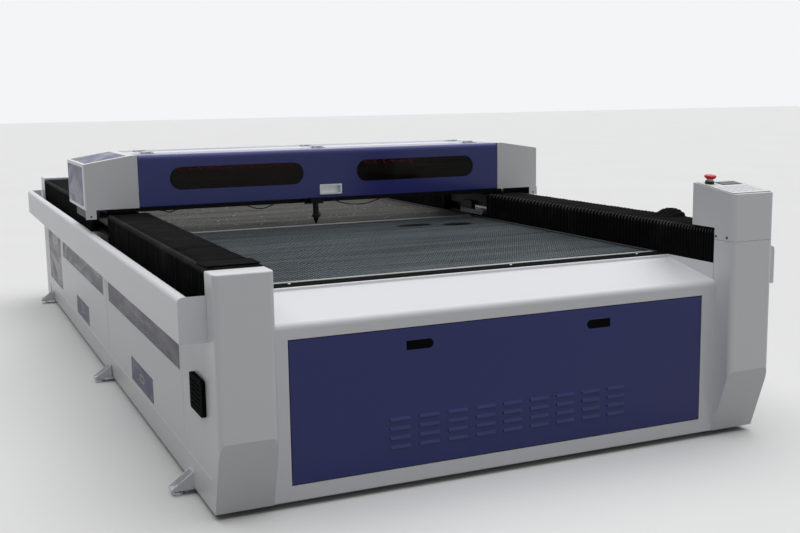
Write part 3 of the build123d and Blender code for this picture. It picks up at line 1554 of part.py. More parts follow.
with BuildPart() as x_idler_pulley:
    add_cross_pulley(-x_pulley_reach)
    with BuildSketch(Plane.XZ.offset(-beam_front)):
        with Locations((-x_pulley_reach, x_belt_height)):
            Circle(pin_radius + running_fit)
    extrude(amount=x_belt_offset + x_belt_width + 3 * pulley_flange, mode=Mode.SUBTRACT)
x_idler_pulley.part.label = "x_idler_pulley"
export_step(x_idler_pulley.part, "parts/x_idler_pulley.step")

# Laser tube behind the beam, and the two fixed mirrors that turn its light to the head
head_y = beam_front - head_axis_offset
tube_end = 10.0
with BuildPart() as laser_tube:
    with BuildSketch(Plane.YZ.offset(-laser_tube_length / 2 - tube_end)):
        with Locations((tube_y, optical_height)):
            Circle(tube_radius - rest_gap)
    extrude(amount=laser_tube_length)
    with BuildSketch(Plane.YZ.offset(-laser_tube_length / 2 - tube_end - 20.0)):
        with Locations((tube_y, optical_height)):
            Circle(mirror_radius)
    extrude(amount=laser_tube_length + 40.0)
laser_tube.part.label = "laser_tube"
export_step(laser_tube.part, "parts/laser_tube.step")

mirror_size = 2 * mirror_radius
with BuildPart() as mirror_mounts:
    for place in (tube_y, head_y):
        with BuildSketch(Plane.XY.offset(optical_height - mirror_radius)):
            with Locations((-mirror_place_x, place)):
                Rectangle(mirror_size, mirror_size)
        extrude(amount=mirror_size)
    with BuildSketch(Plane.XY.offset(optical_height - mirror_radius)):
        with BuildLine():
            Polyline(
                (-mirror_place_x + mirror_radius, tube_y - mirror_radius),
                (-mirror_place_x + mirror_radius, tube_y + mirror_radius * 0.6),
                (-mirror_place_x - mirror_radius * 0.6, tube_y - mirror_radius),
                close=True,
            )
        make_face()
        with BuildLine():
            Polyline(
                (-mirror_place_x + mirror_radius, head_y + mirror_radius),
                (-mirror_place_x + mirror_radius, head_y - mirror_radius * 0.6),
                (-mirror_place_x - mirror_radius * 0.6, head_y + mirror_radius),
                close=True,
            )
        make_face()
    extrude(amount=mirror_size, mode=Mode.SUBTRACT)
    with Locations((-mirror_place_x, tube_y, beam_bottom + shelf_thickness)):
        post_rise = optical_height - mirror_radius - beam_bottom - shelf_thickness
        Box(12.0, 12.0, post_rise, align=(Align.MAX, Align.MIN, Align.MIN))
    arm_x = -mirror_place_x - mirror_radius
    with Locations((arm_x, head_y - mirror_radius, optical_height - mirror_radius)):
        arm_run = beam_front - head_y + mirror_radius
        Box(plate, arm_run, mirror_size, align=(Align.MAX, Align.MIN, Align.MIN))
mirror_mounts.part.label = "mirror_mounts"
export_step(mirror_mounts.part, "parts/mirror_mounts.step")

# Cable chain on its shelf: links with a gap between them, over a thin inner strip
chain_y = chain_shelf_end + 5.0 + chain_depth / 2
chain_start = -chain_left_end
with BuildPart() as cable_chain:
    with Locations((chain_start, chain_y, chain_shelf_height + shelf_thickness / 2)):
        Box(
            chain_links * chain_link, chain_depth - 4.0, chain_height - 3.0,
            align=(Align.MIN, Align.CENTER, Align.MIN),
        )
    for link in range(chain_links):
        link_x = chain_start + (link + 0.5) * chain_link
        with Locations((link_x, chain_y, chain_shelf_height + shelf_thickness / 2)):
            Box(
                chain_link - 6.0, chain_depth, chain_height,
                align=(Align.CENTER, Align.CENTER, Align.MIN),
            )
cable_chain.part.label = "cable_chain"
export_step(cable_chain.part, "parts/cable_chain.step")

# Head carriage: a plate that rides on the cross rail, with a holder for the lens tube, a belt
# clamp and the last mirror above the lens
plate_rear = x_rail_face - 20.0
plate_front = plate_rear - carriage_plate
slider_length = 60.0
slider_height = 40.0
clamp_z = x_belt_height - loop_inner - belt - belt_play
mirror_bottom = optical_height - mirror_radius
with BuildPart() as head_carriage:
    with Locations((head_x, plate_front, carriage_bottom)):
        Box(
            carriage_width, carriage_plate, carriage_top - carriage_bottom,
            align=(Align.CENTER, Align.MIN, Align.MIN),
        )
    with Locations((head_x, plate_rear, x_rail_height)):
        Box(
            slider_length, beam_front - plate_rear - rest_gap, slider_height,
            align=(Align.CENTER, Align.MIN, Align.CENTER),
        )
    with Locations((head_x, x_rail_face - bearing_clearance, x_rail_height)):
        Box(
            slider_length, x_rail + 2.0, x_rail + 2 * bearing_clearance,
            align=(Align.CENTER, Align.MIN, Align.CENTER), mode=Mode.SUBTRACT,
        )
    with Locations((head_x, plate_rear, carriage_top - 10.0)):
        Box(
            belt_clamp_length, x_belt_y - plate_rear, clamp_z - carriage_top + 10.0,
            align=(Align.CENTER, Align.MIN, Align.MIN),
        )
    with Locations((head_x, plate_front, holder_bottom)):
        Box(
            holder_size, 2 * (plate_front - head_y), holder_height,
            align=(Align.CENTER, Align.MAX, Align.MIN),
        )
    with Locations((head_x, plate_rear, carriage_top)):
        Box(
            mirror_size, plate_rear - head_y - mirror_radius, optical_height + mirror_radius - carriage_top,
            align=(Align.CENTER, Align.MAX, Align.MIN),
        )
    with BuildSketch(Plane.XZ.offset(-head_y - mirror_radius)):
        with BuildLine():
            Polyline(
                (head_x - mirror_radius, optical_height + mirror_radius),
                (head_x + mirror_radius, optical_height + mirror_radius),
                (head_x + mirror_radius, mirror_bottom),
                (head_x + mirror_radius * 0.6, mirror_bottom),
                (head_x - mirror_radius, optical_height + mirror_radius * 0.6),
                close=True,
            )
        make_face()
    extrude(amount=mirror_size)
    with Locations((head_x, head_y, holder_bottom)):
        Cylinder(
            lens_tube_radius + running_fit, holder_height,
            align=(Align.CENTER, Align.CENTER, Align.MIN), mode=Mode.SUBTRACT,
        )
head_carriage.part.label = "head_carriage"
export_step(head_carriage.part, "parts/head_carriage.step")

# Laser head: a lens tube that slides in the holder, with a flare and a conical nozzle
tube_top = holder_bottom + holder_height + 14.0
with BuildPart() as laser_head:
    with Locations((head_x, head_y, nozzle_top)):
        Cylinder(lens_tube_radius, tube_top - nozzle_top, align=(Align.CENTER, Align.CENTER, Align.MIN))
    with Locations((head_x, head_y, nozzle_top - 6.0)):
        Cylinder(nozzle_radius, 12.0, align=(Align.CENTER, Align.CENTER, Align.MIN))
    with Locations((head_x, head_y, nozzle_bottom)):
        Cone(
            3.5, nozzle_radius * 0.8, nozzle_top - 6.0 - nozzle_bottom,
            align=(Align.CENTER, Align.CENTER, Align.MIN),
        )
laser_head.part.label = "laser_head"
export_step(laser_head.part, "parts/laser_head.step")
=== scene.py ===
import json
import math

import bmesh
import bpy
from mathutils import Matrix, Vector


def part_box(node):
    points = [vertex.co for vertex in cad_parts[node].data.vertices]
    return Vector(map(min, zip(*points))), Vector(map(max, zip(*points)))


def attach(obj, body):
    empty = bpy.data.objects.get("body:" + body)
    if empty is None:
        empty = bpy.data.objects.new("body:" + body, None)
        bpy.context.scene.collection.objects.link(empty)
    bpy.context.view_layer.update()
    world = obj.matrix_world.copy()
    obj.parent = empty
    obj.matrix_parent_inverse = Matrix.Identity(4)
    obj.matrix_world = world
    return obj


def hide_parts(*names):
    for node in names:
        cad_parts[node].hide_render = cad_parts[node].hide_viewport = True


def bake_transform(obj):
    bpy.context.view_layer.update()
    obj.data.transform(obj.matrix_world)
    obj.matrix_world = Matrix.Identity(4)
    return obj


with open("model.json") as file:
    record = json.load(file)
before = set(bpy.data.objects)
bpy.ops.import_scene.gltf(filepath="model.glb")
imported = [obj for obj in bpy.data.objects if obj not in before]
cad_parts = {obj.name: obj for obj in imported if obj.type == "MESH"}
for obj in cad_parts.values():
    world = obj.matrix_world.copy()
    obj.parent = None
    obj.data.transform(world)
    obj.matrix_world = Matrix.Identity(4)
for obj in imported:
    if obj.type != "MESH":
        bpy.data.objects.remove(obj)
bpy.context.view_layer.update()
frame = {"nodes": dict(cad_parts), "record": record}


# Wires: arithmetic on node sockets, in materials and in geometry trees


class Wire:
    """A socket in a node tree that can be used in sums as if it were a number."""

    def __init__(self, graph, socket):
        self.graph = graph
        self.socket = socket

    def sum(self, operation, *values):
        inputs = dict(enumerate(values))
        return self.graph.add("ShaderNodeMath", {"operation": operation}, inputs)

    def __add__(self, other):
        return self.sum("ADD", self, other)

    def __sub__(self, other):
        return self.sum("SUBTRACT", self, other)

    def __rsub__(self, other):
        return self.sum("SUBTRACT", other, self)

    def __mul__(self, other):
        return self.sum("MULTIPLY", self, other)

    def __truediv__(self, other):
        return self.sum("DIVIDE", self, other)

    def __mod__(self, other):
        return self.sum("FLOORED_MODULO", self, other)

    def __abs__(self):
        return self.sum("ABSOLUTE", self)

    def floor(self):
        return self.sum("FLOOR", self)

    def clamp(self):
        return self.sum("MINIMUM", self.sum("MAXIMUM", self, 0.0), 1.0)

    def above(self, other):
        return self.sum("GREATER_THAN", self, other)


class Graph:
    """A node tree, and the one way in which nodes are put into it."""

    def __init__(self, tree):
        self.tree = tree

    def add(self, kind, settings=None, inputs=None, output=0):
        """Put in a node with its settings and inputs, and return one of its outputs."""
        node = self.tree.nodes.new(kind)
        for name, value in (settings or {}).items():
            setattr(node, name, value)
        for key, value in (inputs or {}).items():
            self.plug(node.inputs[key], value)
        return Wire(self, node.outputs[output])

    def plug(self, socket, value):
        if isinstance(value, Wire):
            self.tree.links.new(value.socket, socket)
        else:
            socket.default_value = value


class Finish(Graph):
    """A procedural surface finish."""

    def __init__(self, name, **shader):
        self.material = bpy.data.materials.new(name)
        self.material.use_nodes = True
        super().__init__(self.material.node_tree)
        self.shader = self.tree.nodes["Principled BSDF"]
        self.set(**shader)
        self.place = self.add("ShaderNodeTexCoord", output="Object")

    def set(self, **sockets):
        for name, value in sockets.items():
            if name.endswith("Color") and not isinstance(value, Wire):
                value = (*value, 1.0)
            self.plug(self.shader.inputs[name.replace("_", " ")], value)

    def noise(self, scale, detail=2.0, roughness=0.5, stretch=None, distortion=0.0):
        place = self.place
        if stretch:
            place = self.add("ShaderNodeMapping", None, {"Vector": place, "Scale": stretch})
        inputs = {"Vector": place, "Scale": scale, "Detail": detail}
        inputs.update({"Roughness": roughness, "Distortion": distortion})
        return self.add("ShaderNodeTexNoise", None, inputs)

    def blend(self, factor, first, second):
        colours = [c if isinstance(c, Wire) else (*c, 1.0) for c in (first, second)]
        inputs = {0: factor, 6: colours[0], 7: colours[1]}
        return self.add("ShaderNodeMix", {"data_type": "RGBA"}, inputs, output=2)

    def split(self):
        """The place on the machine as wires along X, Y and Z."""
        parts = self.add("ShaderNodeSeparateXYZ", None, {0: self.place})
        return [Wire(self, socket) for socket in parts.socket.node.outputs]

    def bump(self, height, distance, strength=1.0):
        inputs = {"Height": height, "Distance": distance, "Strength": strength}
        self.set(Normal=self.add("ShaderNodeBump", None, inputs))


def patch(first, second, middle, reach):
    """1 inside a rectangle that is given by its middle and its reach on two wires; 0 outside."""
    outside = abs(first - middle[0]).above(reach[0]) + abs(second - middle[1]).above(reach[1])
    return (1.0 - outside).clamp()


# Finishes


WHITE = (0.74, 0.75, 0.77)
BLUE = (0.022, 0.029, 0.168)
COVER_BLUE = (0.038, 0.045, 0.225)
DUSTY_BELOW = 0.35
LEAF_LEVEL = 0.9343


def powder_coat(name, colour, gloss=0.34, grain=0.00012, dust=0.06, shine=0.5, bare_above=None):
    """Sprayed enamel on sheet steel: a faint orange peel, and a little dust low down.

    Hinge leaves and knuckles stand above the sheet that carries them, and are bare steel.
    """
    finish = Finish(name, Specular_IOR_Level=shine)
    peel = finish.noise(420.0, detail=1.0)
    cloud = finish.noise(1.7, detail=3.0)
    z = finish.split()[2]
    low = (1.0 - z / DUSTY_BELOW).clamp() * cloud
    shade = [c * 0.9 + 0.06 for c in colour]
    tone = finish.blend(low * dust * 4.0 + cloud * dust, colour, shade)
    rough = cloud * 0.10 + (gloss - 0.05)
    if bare_above:
        bare = z.above(bare_above)
        lines = finish.noise(220.0, stretch=(1.0, 12.0, 1.0))
        steel = finish.blend(lines, (0.30, 0.32, 0.34), (0.46, 0.48, 0.50))
        tone = finish.blend(bare, tone, steel)
        rough = rough + bare * 0.12
        finish.set(Metallic=bare * 0.7)
    finish.set(Base_Color=tone, Roughness=rough)
    finish.bump(peel, grain)
    return finish.material


white_enamel = powder_coat("white_enamel", WHITE)
spine_enamel = powder_coat("spine_enamel", WHITE, bare_above=LEAF_LEVEL)
glossy = {"grain": 0.00008, "dust": 0.02}
blue_enamel = powder_coat("blue_enamel", BLUE, gloss=0.18, shine=0.3, **glossy)
cover_enamel = powder_coat(
    "cover_enamel", COVER_BLUE, gloss=0.16, shine=0.28, bare_above=LEAF_LEVEL, **glossy
)
black_enamel = powder_coat("black_enamel", (0.010, 0.010, 0.011), gloss=0.36, dust=0.01, shine=0.2)
frame_enamel = powder_coat("frame_enamel", (0.013, 0.013, 0.014), gloss=0.5, dust=0.01, shine=0.2)


def blue_panel_with_reflection(name, reflected_pale, smooth, deep):
    """A glossy blue panel, with a painted reflection of the room in its colour: pale and dark mottled
    streaks over the blue, and a faint swirled bump.
    """
    finish = Finish(name, Specular_IOR_Level=0.08)
    swirl = finish.noise(7.0, detail=5.0, stretch=(1.0, 0.30, 1.0), distortion=2.0)
    # Painted reflection: streaks of the room mirrored in the gloss, pale and dark.
    reflected_streaks = ((swirl - 0.40) * 5.0).clamp()
    cloud = finish.noise(2.3)
    pale = finish.blend(cloud, reflected_pale, smooth)
    finish.set(Base_Color=finish.blend(reflected_streaks, deep, pale))
    finish.set(Roughness=reflected_streaks * 0.15 + 0.20)
    finish.bump(swirl, 0.0012, 0.35)
    return finish.material


# Painted reflection: the side strips, the gantry's end panels and the hatches show the room as pale and
# dark streaks painted into their blue.
side_film = blue_panel_with_reflection(
    "side_film", reflected_pale=(0.108, 0.090, 0.132), smooth=(0.048, 0.041, 0.074), deep=(0.016, 0.014, 0.036)
)
blue_film = blue_panel_with_reflection(
    "blue_film", reflected_pale=(0.108, 0.108, 0.215), smooth=(0.038, 0.040, 0.140), deep=(0.022, 0.025, 0.105)
)


def brushed_metal(name, colour, rough=0.28, stretch=(1.0, 60.0, 60.0)):
    """Bare metal with fine lines along its length."""
    finish = Finish(name, Metallic=1.0)
    lines = finish.noise(90.0, detail=3.0, stretch=stretch)
    smear = finish.noise(6.0)
    tone = finish.blend(lines * 0.5 + smear * 0.3, colour, [c * 0.7 for c in colour])
    finish.set(Base_Color=tone, Roughness=lines * 0.22 + (rough - 0.06))
    finish.bump(lines, 0.00006)
    return finish.material


bright_steel = brushed_metal("bright_steel", (0.62, 0.64, 0.66))
ground_rail = brushed_metal("ground_rail", (0.50, 0.51, 0.52), rough=0.25, stretch=(60.0, 1.0, 60.0))
soft_aluminium = brushed_metal("soft_aluminium", (0.66, 0.68, 0.70), rough=0.38)

BAY_HALF_WIDTH = 0.7417
BARE_ABOVE = 0.5935


def bed_frame_bars():
    """Bars of the bed: bare aluminium on top, in front and across; dull dark grey lower down, and along
    both sides as painted shade.
    """
    finish = Finish("bed_bars", Specular_IOR_Level=0.12)
    x, _, z = finish.split()
    side_bar = abs(x).above(BAY_HALF_WIDTH)
    below = (BARE_ABOVE - z).above(0.0)
    # Painted shade along both side bars; below the bars' tops the grey only makes them darker by height.
    painted = (side_bar + below).clamp()
    wear = finish.noise(30.0, detail=3.0, stretch=(0.2, 1.0, 1.0))
    metal = finish.blend(wear, (0.27, 0.28, 0.29), (0.44, 0.45, 0.45))
    finish.set(Base_Color=finish.blend(painted, metal, (0.040, 0.043, 0.045)))
    finish.set(Metallic=(1.0 - painted) * 0.7, Roughness=wear * 0.15 + 0.45)
    return finish.material


bed_bars = bed_frame_bars()


def moulded_plastic(name, colour, rough=0.42, grain=0.00010, shine=0.5, glow=0.0):
    """Moulded plastic with a fine grained skin, which glows as painted light where glow is given."""
    finish = Finish(name, Specular_IOR_Level=shine, Emission_Strength=glow, Emission_Color=colour)
    pores = finish.noise(900.0, detail=1.0)
    cloud = finish.noise(14.0)
    tone = finish.blend(cloud * 0.5, colour, [min(1.0, c * 1.25 + 0.004) for c in colour])
    finish.set(Base_Color=tone, Roughness=pores * 0.12 + rough)
    finish.bump(pores, grain)
    return finish.material


black_plastic = moulded_plastic("black_plastic", (0.009, 0.009, 0.010), shine=0.25)
matt_black = moulded_plastic("matt_black", (0.004, 0.004, 0.004), rough=0.8, shine=0.02)
pale_plastic = moulded_plastic("pale_plastic", (0.62, 0.60, 0.54), rough=0.3)
red_plastic = moulded_plastic("red_plastic", (0.50, 0.012, 0.009), rough=0.25, grain=0.00004, shine=0.22)
# Painted glow: the chain's clips glow red though they are no lamp, so that they show through the dark
# panes.
clip_red = moulded_plastic("clip_red", (0.60, 0.02, 0.02), glow=0.65)
belt_rubber = moulded_plastic("belt_rubber", (0.012, 0.012, 0.012), rough=0.6, shine=0.2)


def bellows_cloth():
    """Coated cloth of the bellows: a fine weave, dusty in patches, and a painted pale highlight on the
    crests of its pleats.
    """
    finish = Finish("bellows_cloth", Specular_IOR_Level=0.05)
    weave = finish.noise(1500.0, detail=1.0)
    patches = finish.noise(7.0, detail=4.0, roughness=0.6)
    ridge = finish.add("ShaderNodeAttribute", {"attribute_name": "ridge"}, output="Fac")
    # Painted highlight: pale grey on the pleats' crests, where light catches the folds.
    crest_highlight = (ridge * 5.0 - 4.0).clamp()
    dusty = ((patches - 0.5) * 3.0).clamp()
    tone = finish.blend(dusty, (0.0035, 0.0035, 0.004), (0.018, 0.018, 0.018))
    tone = finish.blend(crest_highlight * (dusty * 0.4 + 0.5), tone, (0.170, 0.170, 0.165))
    finish.set(Base_Color=tone, Roughness=patches * 0.15 + 0.75)
    finish.bump(weave, 0.0001)
    return finish.material


cloth = bellows_cloth()

SCORCHES = (((0.356, -0.452), (0.100, 0.052)), ((0.538, -0.513), (0.088, 0.060)))
SMOKED_FROM, SMOKE_FADE = -0.28, 0.12
CELL_SHADE_BELOW, CELL_SHADE_FADE = 0.588, 0.012


def comb_foil():
    """Foil of the honeycomb: grey, in faint bands, browned by smoke behind the gantry, and darkened by
    painted shade deep in its cells.
    """
    finish = Finish("comb_foil", Metallic=0.85)
    x, y, z = finish.split()
    bands = finish.noise(1.0, detail=5.0, roughness=0.62, stretch=(1.1, 26.0, 1.0))
    bands = ((bands - 0.5) * 2.4 + 0.5).clamp()
    spots = finish.noise(3.2, detail=5.0, roughness=0.62, stretch=(1.0, 2.3, 1.0))
    rear = ((y - SMOKED_FROM) / SMOKE_FADE).clamp()
    grey = finish.blend(bands, (0.10, 0.122, 0.132), (0.27, 0.31, 0.325))
    brown = finish.blend(bands, (0.125, 0.122, 0.112), (0.29, 0.285, 0.265))
    tone = finish.blend(rear, grey, brown)
    crumbs = finish.noise(55.0, detail=0.0, stretch=(1.0, 1.0, 0.0)).above(0.78) * rear
    tone = finish.blend(crumbs, tone, (0.75, 0.74, 0.70))
    for (spot_x, spot_y), (reach_x, reach_y) in SCORCHES:
        aside = (x - spot_x) / reach_x
        along = (y - spot_y) / reach_y
        soot = ((1.35 - aside * aside - along * along - spots) * 2.5).clamp()
        tone = finish.blend(soot * 0.93, tone, (0.004, 0.004, 0.004))
    # Painted shade: the cells' walls darken towards their bottoms.
    deep = ((CELL_SHADE_BELOW - z) / CELL_SHADE_FADE).clamp()
    finish.set(Base_Color=finish.blend(deep * 0.8, tone, (0.02, 0.022, 0.024)))
    finish.set(Roughness=spots * 0.2 + 0.35)
    return finish.material


comb = comb_foil()


def smoked_acrylic():
    """The dark window panes of the front cover."""
    finish = Finish("smoked_acrylic", Specular_IOR_Level=0.14)
    film = finish.noise(3.0)
    finish.set(Base_Color=finish.blend(film, (0.0085, 0.0066, 0.0052), (0.012, 0.0095, 0.0080)))
    finish.set(Roughness=film * 0.05 + 0.05, Alpha=film * 0.05 + 0.52)
    return finish.material


acrylic = smoked_acrylic()


def laser_tube_glass():
    """Clear glass of the laser tube, faintly hazed by the water inside."""
    finish = Finish("tube_glass")
    haze = finish.noise(9.0)
    finish.set(Base_Color=finish.blend(haze, (0.62, 0.66, 0.68), (0.75, 0.78, 0.80)))
    finish.set(Roughness=haze * 0.04 + 0.04, Alpha=haze * 0.1 + 0.45)
    return finish.material


tube_glass = laser_tube_glass()

KEYPAD_CENTRE = (0.8515, -1.9055, 0.8355)
KEYPAD_SLOPE = math.radians(7.36)
KEY_FIELD = ((0.0, -0.030), (0.068, 0.042))
KEY_STEP, KEY_START = (0.028, 0.022), (0.014, 0.030)
KEY_REACH, SIGN_REACH = (0.0092, 0.0068), (0.0040, 0.0016)
DISPLAY_FRAME = ((0.0255, 0.055), (0.0430, 0.0260))
DISPLAY = ((0.0275, 0.053), (0.0340, 0.0170))
PLATE_FACE = ((0.0, 0.001), (0.0765, 0.0905))


def keypad_membrane():
    """The printed membrane: pale keys in a grid, a display in a dark frame, and dark grey plate edges
    that are painted shade, the shadow line around the plate.
    """
    finish = Finish("keypad_membrane", Roughness=0.40, Specular_IOR_Level=0.12)
    x, y, z = finish.split()
    across = x - KEYPAD_CENTRE[0]
    up = (y - KEYPAD_CENTRE[1]) * math.cos(KEYPAD_SLOPE)
    up = up + (z - KEYPAD_CENTRE[2]) * math.sin(KEYPAD_SLOPE)

    def from_key(wire, start, step):
        """The distance from the middle of the nearest key."""
        return ((wire + start) / step % 1.0 - 0.5) * step

    column = from_key(across, KEY_START[0], KEY_STEP[0])
    row = from_key(up, KEY_START[1], KEY_STEP[1])
    field = patch(across, up, *KEY_FIELD)
    key = patch(column, row, (0.0, 0.0), KEY_REACH) * field
    sign = patch(column, row, (0.0, 0.0), SIGN_REACH) * field
    haze = finish.noise(40.0)
    sheet = finish.blend(haze * 0.4, (0.78, 0.79, 0.80), (0.72, 0.73, 0.75))
    sheet = finish.blend(key, sheet, (0.60, 0.62, 0.66))
    sheet = finish.blend(sign, sheet, (0.28, 0.29, 0.33))
    sheet = finish.blend(patch(across, up, *DISPLAY_FRAME), sheet, (0.014, 0.014, 0.026))
    sheet = finish.blend(patch(across, up, *DISPLAY), sheet, (0.110, 0.112, 0.130))
    # Painted shade: the plate's edges and sides are dark grey for the shadow line around it.
    rim = (1.0 - patch(across, up, *PLATE_FACE)).clamp()
    finish.set(Base_Color=finish.blend(rim, sheet, (0.10, 0.10, 0.105)))
    return finish.material


membrane = keypad_membrane()

FINGER_RECESS = (0.030, 0.0085)


def hatch_latch_steel():
    """Pale metal paddles of the hatches, each with painted shade, near black, in its finger recess."""
    finish = Finish("hatch_latch_steel", Roughness=0.4, Specular_IOR_Level=0.3)
    _, y, z = finish.split()
    recess_shades = []
    for node in ("front_hatch_latch", "rear_hatch_latch"):
        low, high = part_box(node)
        middle = ((low.y + high.y) / 2, (low.z + high.z) / 2)
        recess_shades.append(patch(y, z, middle, FINGER_RECESS))
    rubbed = finish.noise(60.0)
    pale = finish.blend(rubbed, (0.52, 0.50, 0.46), (0.36, 0.35, 0.33))
    # Painted shade: the finger recesses are near black.
    recess = (recess_shades[0] + recess_shades[1]).clamp()
    finish.set(Base_Color=finish.blend(recess, pale, (0.018, 0.018, 0.020)))
    return finish.material


hatch_steel = hatch_latch_steel()

finishes = {
    "white_paint": white_enamel,
    "blue_paint": blue_enamel,
    "frame_paint": frame_enamel,
    "black_paint": black_enamel,
    "steel": bright_steel,
    "aluminium": soft_aluminium,
    "honeycomb": comb,
    "bellows_cloth": cloth,
    "belt_rubber": belt_rubber,
    "black_plastic": black_plastic,
    "keypad": membrane,
    "pale_plastic": pale_plastic,
    "red_plastic": red_plastic,
    "dark_glass": acrylic,
    "tube_glass": tube_glass,
}
finishes_of_single_nodes = {
    "y_guide_rails": ground_rail,
    "x_guide_rail": ground_rail,
    "side_panels": side_film,
    "gantry_end_panels": blue_film,
    "front_hatch": blue_film,
    "rear_hatch": blue_film,
    "gantry_front_cover": cover_enamel,
    "gantry_rear_cover": cover_enamel,
    "gantry_top": spine_enamel,
    "head_carriage": black_enamel,
    "bed_frame": bed_bars,
    "bed_front_rail": matt_black,
    "filter_cover": matt_black,
    "front_door_left_latch": matt_black,
    "front_door_right_latch": matt_black,
    "front_hatch_latch": hatch_steel,
    "rear_hatch_latch": hatch_steel,
}
slot_of = {row["node"]: row["material_slot"] for row in frame["record"]["subparts"]}
for node, thing in frame["nodes"].items():
    thing.data.materials.clear()
    finish = finishes_of_single_nodes.get(node, finishes[slot_of[node]])
    thing.data.materials.append(finish)


# Pieces


def put(name, data):
    """Put a mesh, a curve, a lamp or the camera into the scene."""
    thing = bpy.data.objects.new(name, data)
    bpy.context.scene.collection.objects.link(thing)
    return thing


def keep(name, mesh, material, body, smooth=True):
    """Make a finished piece of a mesh, and let it ride on its body."""
    mesh.name = name
    if not mesh.materials:
        mesh.materials.append(material)
    if smooth:
        mesh.shade_smooth()
        mesh.set_sharp_from_angle(angle=math.radians(35))
    piece = put(name, mesh)
    if body:
        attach(piece, body)
    return piece


def mesh_of(build, closed=True):
    """Return the mesh that build makes in a bmesh; a closed one is merged and faces outwards."""
    shape = bmesh.new()
    build(shape)
    if closed:
        bmesh.ops.remove_doubles(shape, verts=shape.verts, dist=1e-6)
        bmesh.ops.recalc_face_normals(shape, faces=shape.faces)
    mesh = bpy.data.meshes.new("piece")
    shape.to_mesh(mesh)
    shape.free()
    return mesh


def band(shape, first, second, closed=False):
    """Lay faces between two rows of points, which are triangles where a row shrinks to a pole."""
    if closed:
        first, second = first + first[:1], second + second[:1]
    for corners in zip(first, first[1:], second[1:], second):
        unique = list(dict.fromkeys(corners))
        if len(unique) > 2:
            shape.faces.new(unique)


def circle(shape, radius, height, sides):
    """A ring of points around Z; on the axis it is one point, repeated."""
    if radius < 1e-7:
        return [shape.verts.new((0, 0, height))] * sides
    angles = [2 * math.pi * side / sides for side in range(sides)]
    return [shape.verts.new((radius * math.cos(a), radius * math.sin(a), height)) for a in angles]


def lathe(profile, sides, matrix):
    """Return a mesh turned about Z from a profile of radius and height pairs."""

    def build(shape):
        rings = [circle(shape, radius, height, sides) for radius, height in profile]
        for low, high in zip(rings, rings[1:]):
            band(shape, low, high, closed=True)
        bmesh.ops.transform(shape, matrix=matrix, verts=shape.verts)

    return mesh_of(build)


CORNER_STEPS = 4


def plate_mesh(size, corner, height, matrix, bevel=0.0):
    """Return a flat plate with rounded corners, made on the XY plane and moved by a matrix."""

    def rim(shape, inset, level):
        spots = []
        for quarter in range(4):
            centre_x = (1 if quarter in (0, 3) else -1) * (size[0] / 2 - corner)
            centre_y = (1 if quarter in (0, 1) else -1) * (size[1] / 2 - corner)
            for step in range(CORNER_STEPS + 1):
                angle = math.pi / 2 * (quarter + step / CORNER_STEPS)
                x = centre_x + (corner - inset) * math.cos(angle)
                y = centre_y + (corner - inset) * math.sin(angle)
                spots.append(shape.verts.new((x, y, level)))
        return spots

    def build(shape):
        levels = [(0.0, 0.0), (0.0, height - bevel)]
        if bevel:
            levels.append((bevel, height))
        rims = [rim(shape, inset, level) for inset, level in levels]
        for low, high in zip(rims, rims[1:]):
            band(shape, low, high, closed=True)
        shape.faces.new(list(reversed(rims[0])))
        shape.faces.new(rims[-1])
        bmesh.ops.transform(shape, matrix=matrix, verts=shape.verts)

    return mesh_of(build)


def plain_mesh(thing):
    """Return a mesh of an object as its modifiers, or its thickness as a curve, leave it."""
    depsgraph = bpy.context.evaluated_depsgraph_get()
    return bpy.data.meshes.new_from_object(thing.evaluated_get(depsgraph))


class Growth(Graph):
    """A geometry tree with named inputs, made for one kind of repeated piece."""

    def __init__(self, name, sizes):
        tree = bpy.data.node_groups.new(name, "GeometryNodeTree")
        super().__init__(tree)
        kinds = {float: "NodeSocketFloat", int: "NodeSocketInt", bpy.types.Object: "NodeSocketObject"}
        tree.interface.new_socket("Geometry", in_out="INPUT", socket_type="NodeSocketGeometry")
        self.sockets = {}
        for label, kind in sizes.items():
            socket = tree.interface.new_socket(label, in_out="INPUT", socket_type=kinds[kind])
            self.sockets[label] = socket.identifier
        tree.interface.new_socket("Geometry", in_out="OUTPUT", socket_type="NodeSocketGeometry")
        self.inlet = tree.nodes.new("NodeGroupInput")
        self.outlet = tree.nodes.new("NodeGroupOutput")

    def given(self, label):
        return Wire(self, self.inlet.outputs[label])

    def end_in_copies(self, label, points, material):
        """End the tree in real, painted copies of the given part, one on every point."""
        part = self.add("GeometryNodeObjectInfo", None, {"Object": self.given(label)}, "Geometry")
        copies = self.add("GeometryNodeInstanceOnPoints", None, {"Points": points, "Instance": part})
        real = self.add("GeometryNodeRealizeInstances", None, {0: copies})
        painted = self.add("GeometryNodeSetMaterial", None, {0: real, "Material": material})
        self.tree.links.new(painted.socket, self.outlet.inputs[0])

    def grow(self, base, values):
        """Run the tree on a base mesh and return the result as a plain mesh."""
        seed = put("seed", base)
        modifier = seed.modifiers.new("grow", "NODES")
        modifier.node_group = self.tree
        for label, value in values.items():
            modifier[self.sockets[label]] = value
        mesh = plain_mesh(seed)
        seed.modifiers.remove(modifier)
        bpy.data.objects.remove(seed)
        return mesh


def repeat(name, part, places, material, body):
    """Set copies of a small part's mesh at several places, as one piece."""
    base = bpy.data.meshes.new("places")
    base.from_pydata([tuple(place) for place in places], [], [])
    holder = put("part", part)
    tree = Growth(name, {"Part": bpy.types.Object})
    points = tree.add("GeometryNodeMeshToPoints", None, {0: tree.given("Geometry")})
    tree.end_in_copies("Part", points, material)
    mesh = tree.grow(base, {"Part": holder})
    bpy.data.objects.remove(holder)
    keep(name, mesh, material, body)


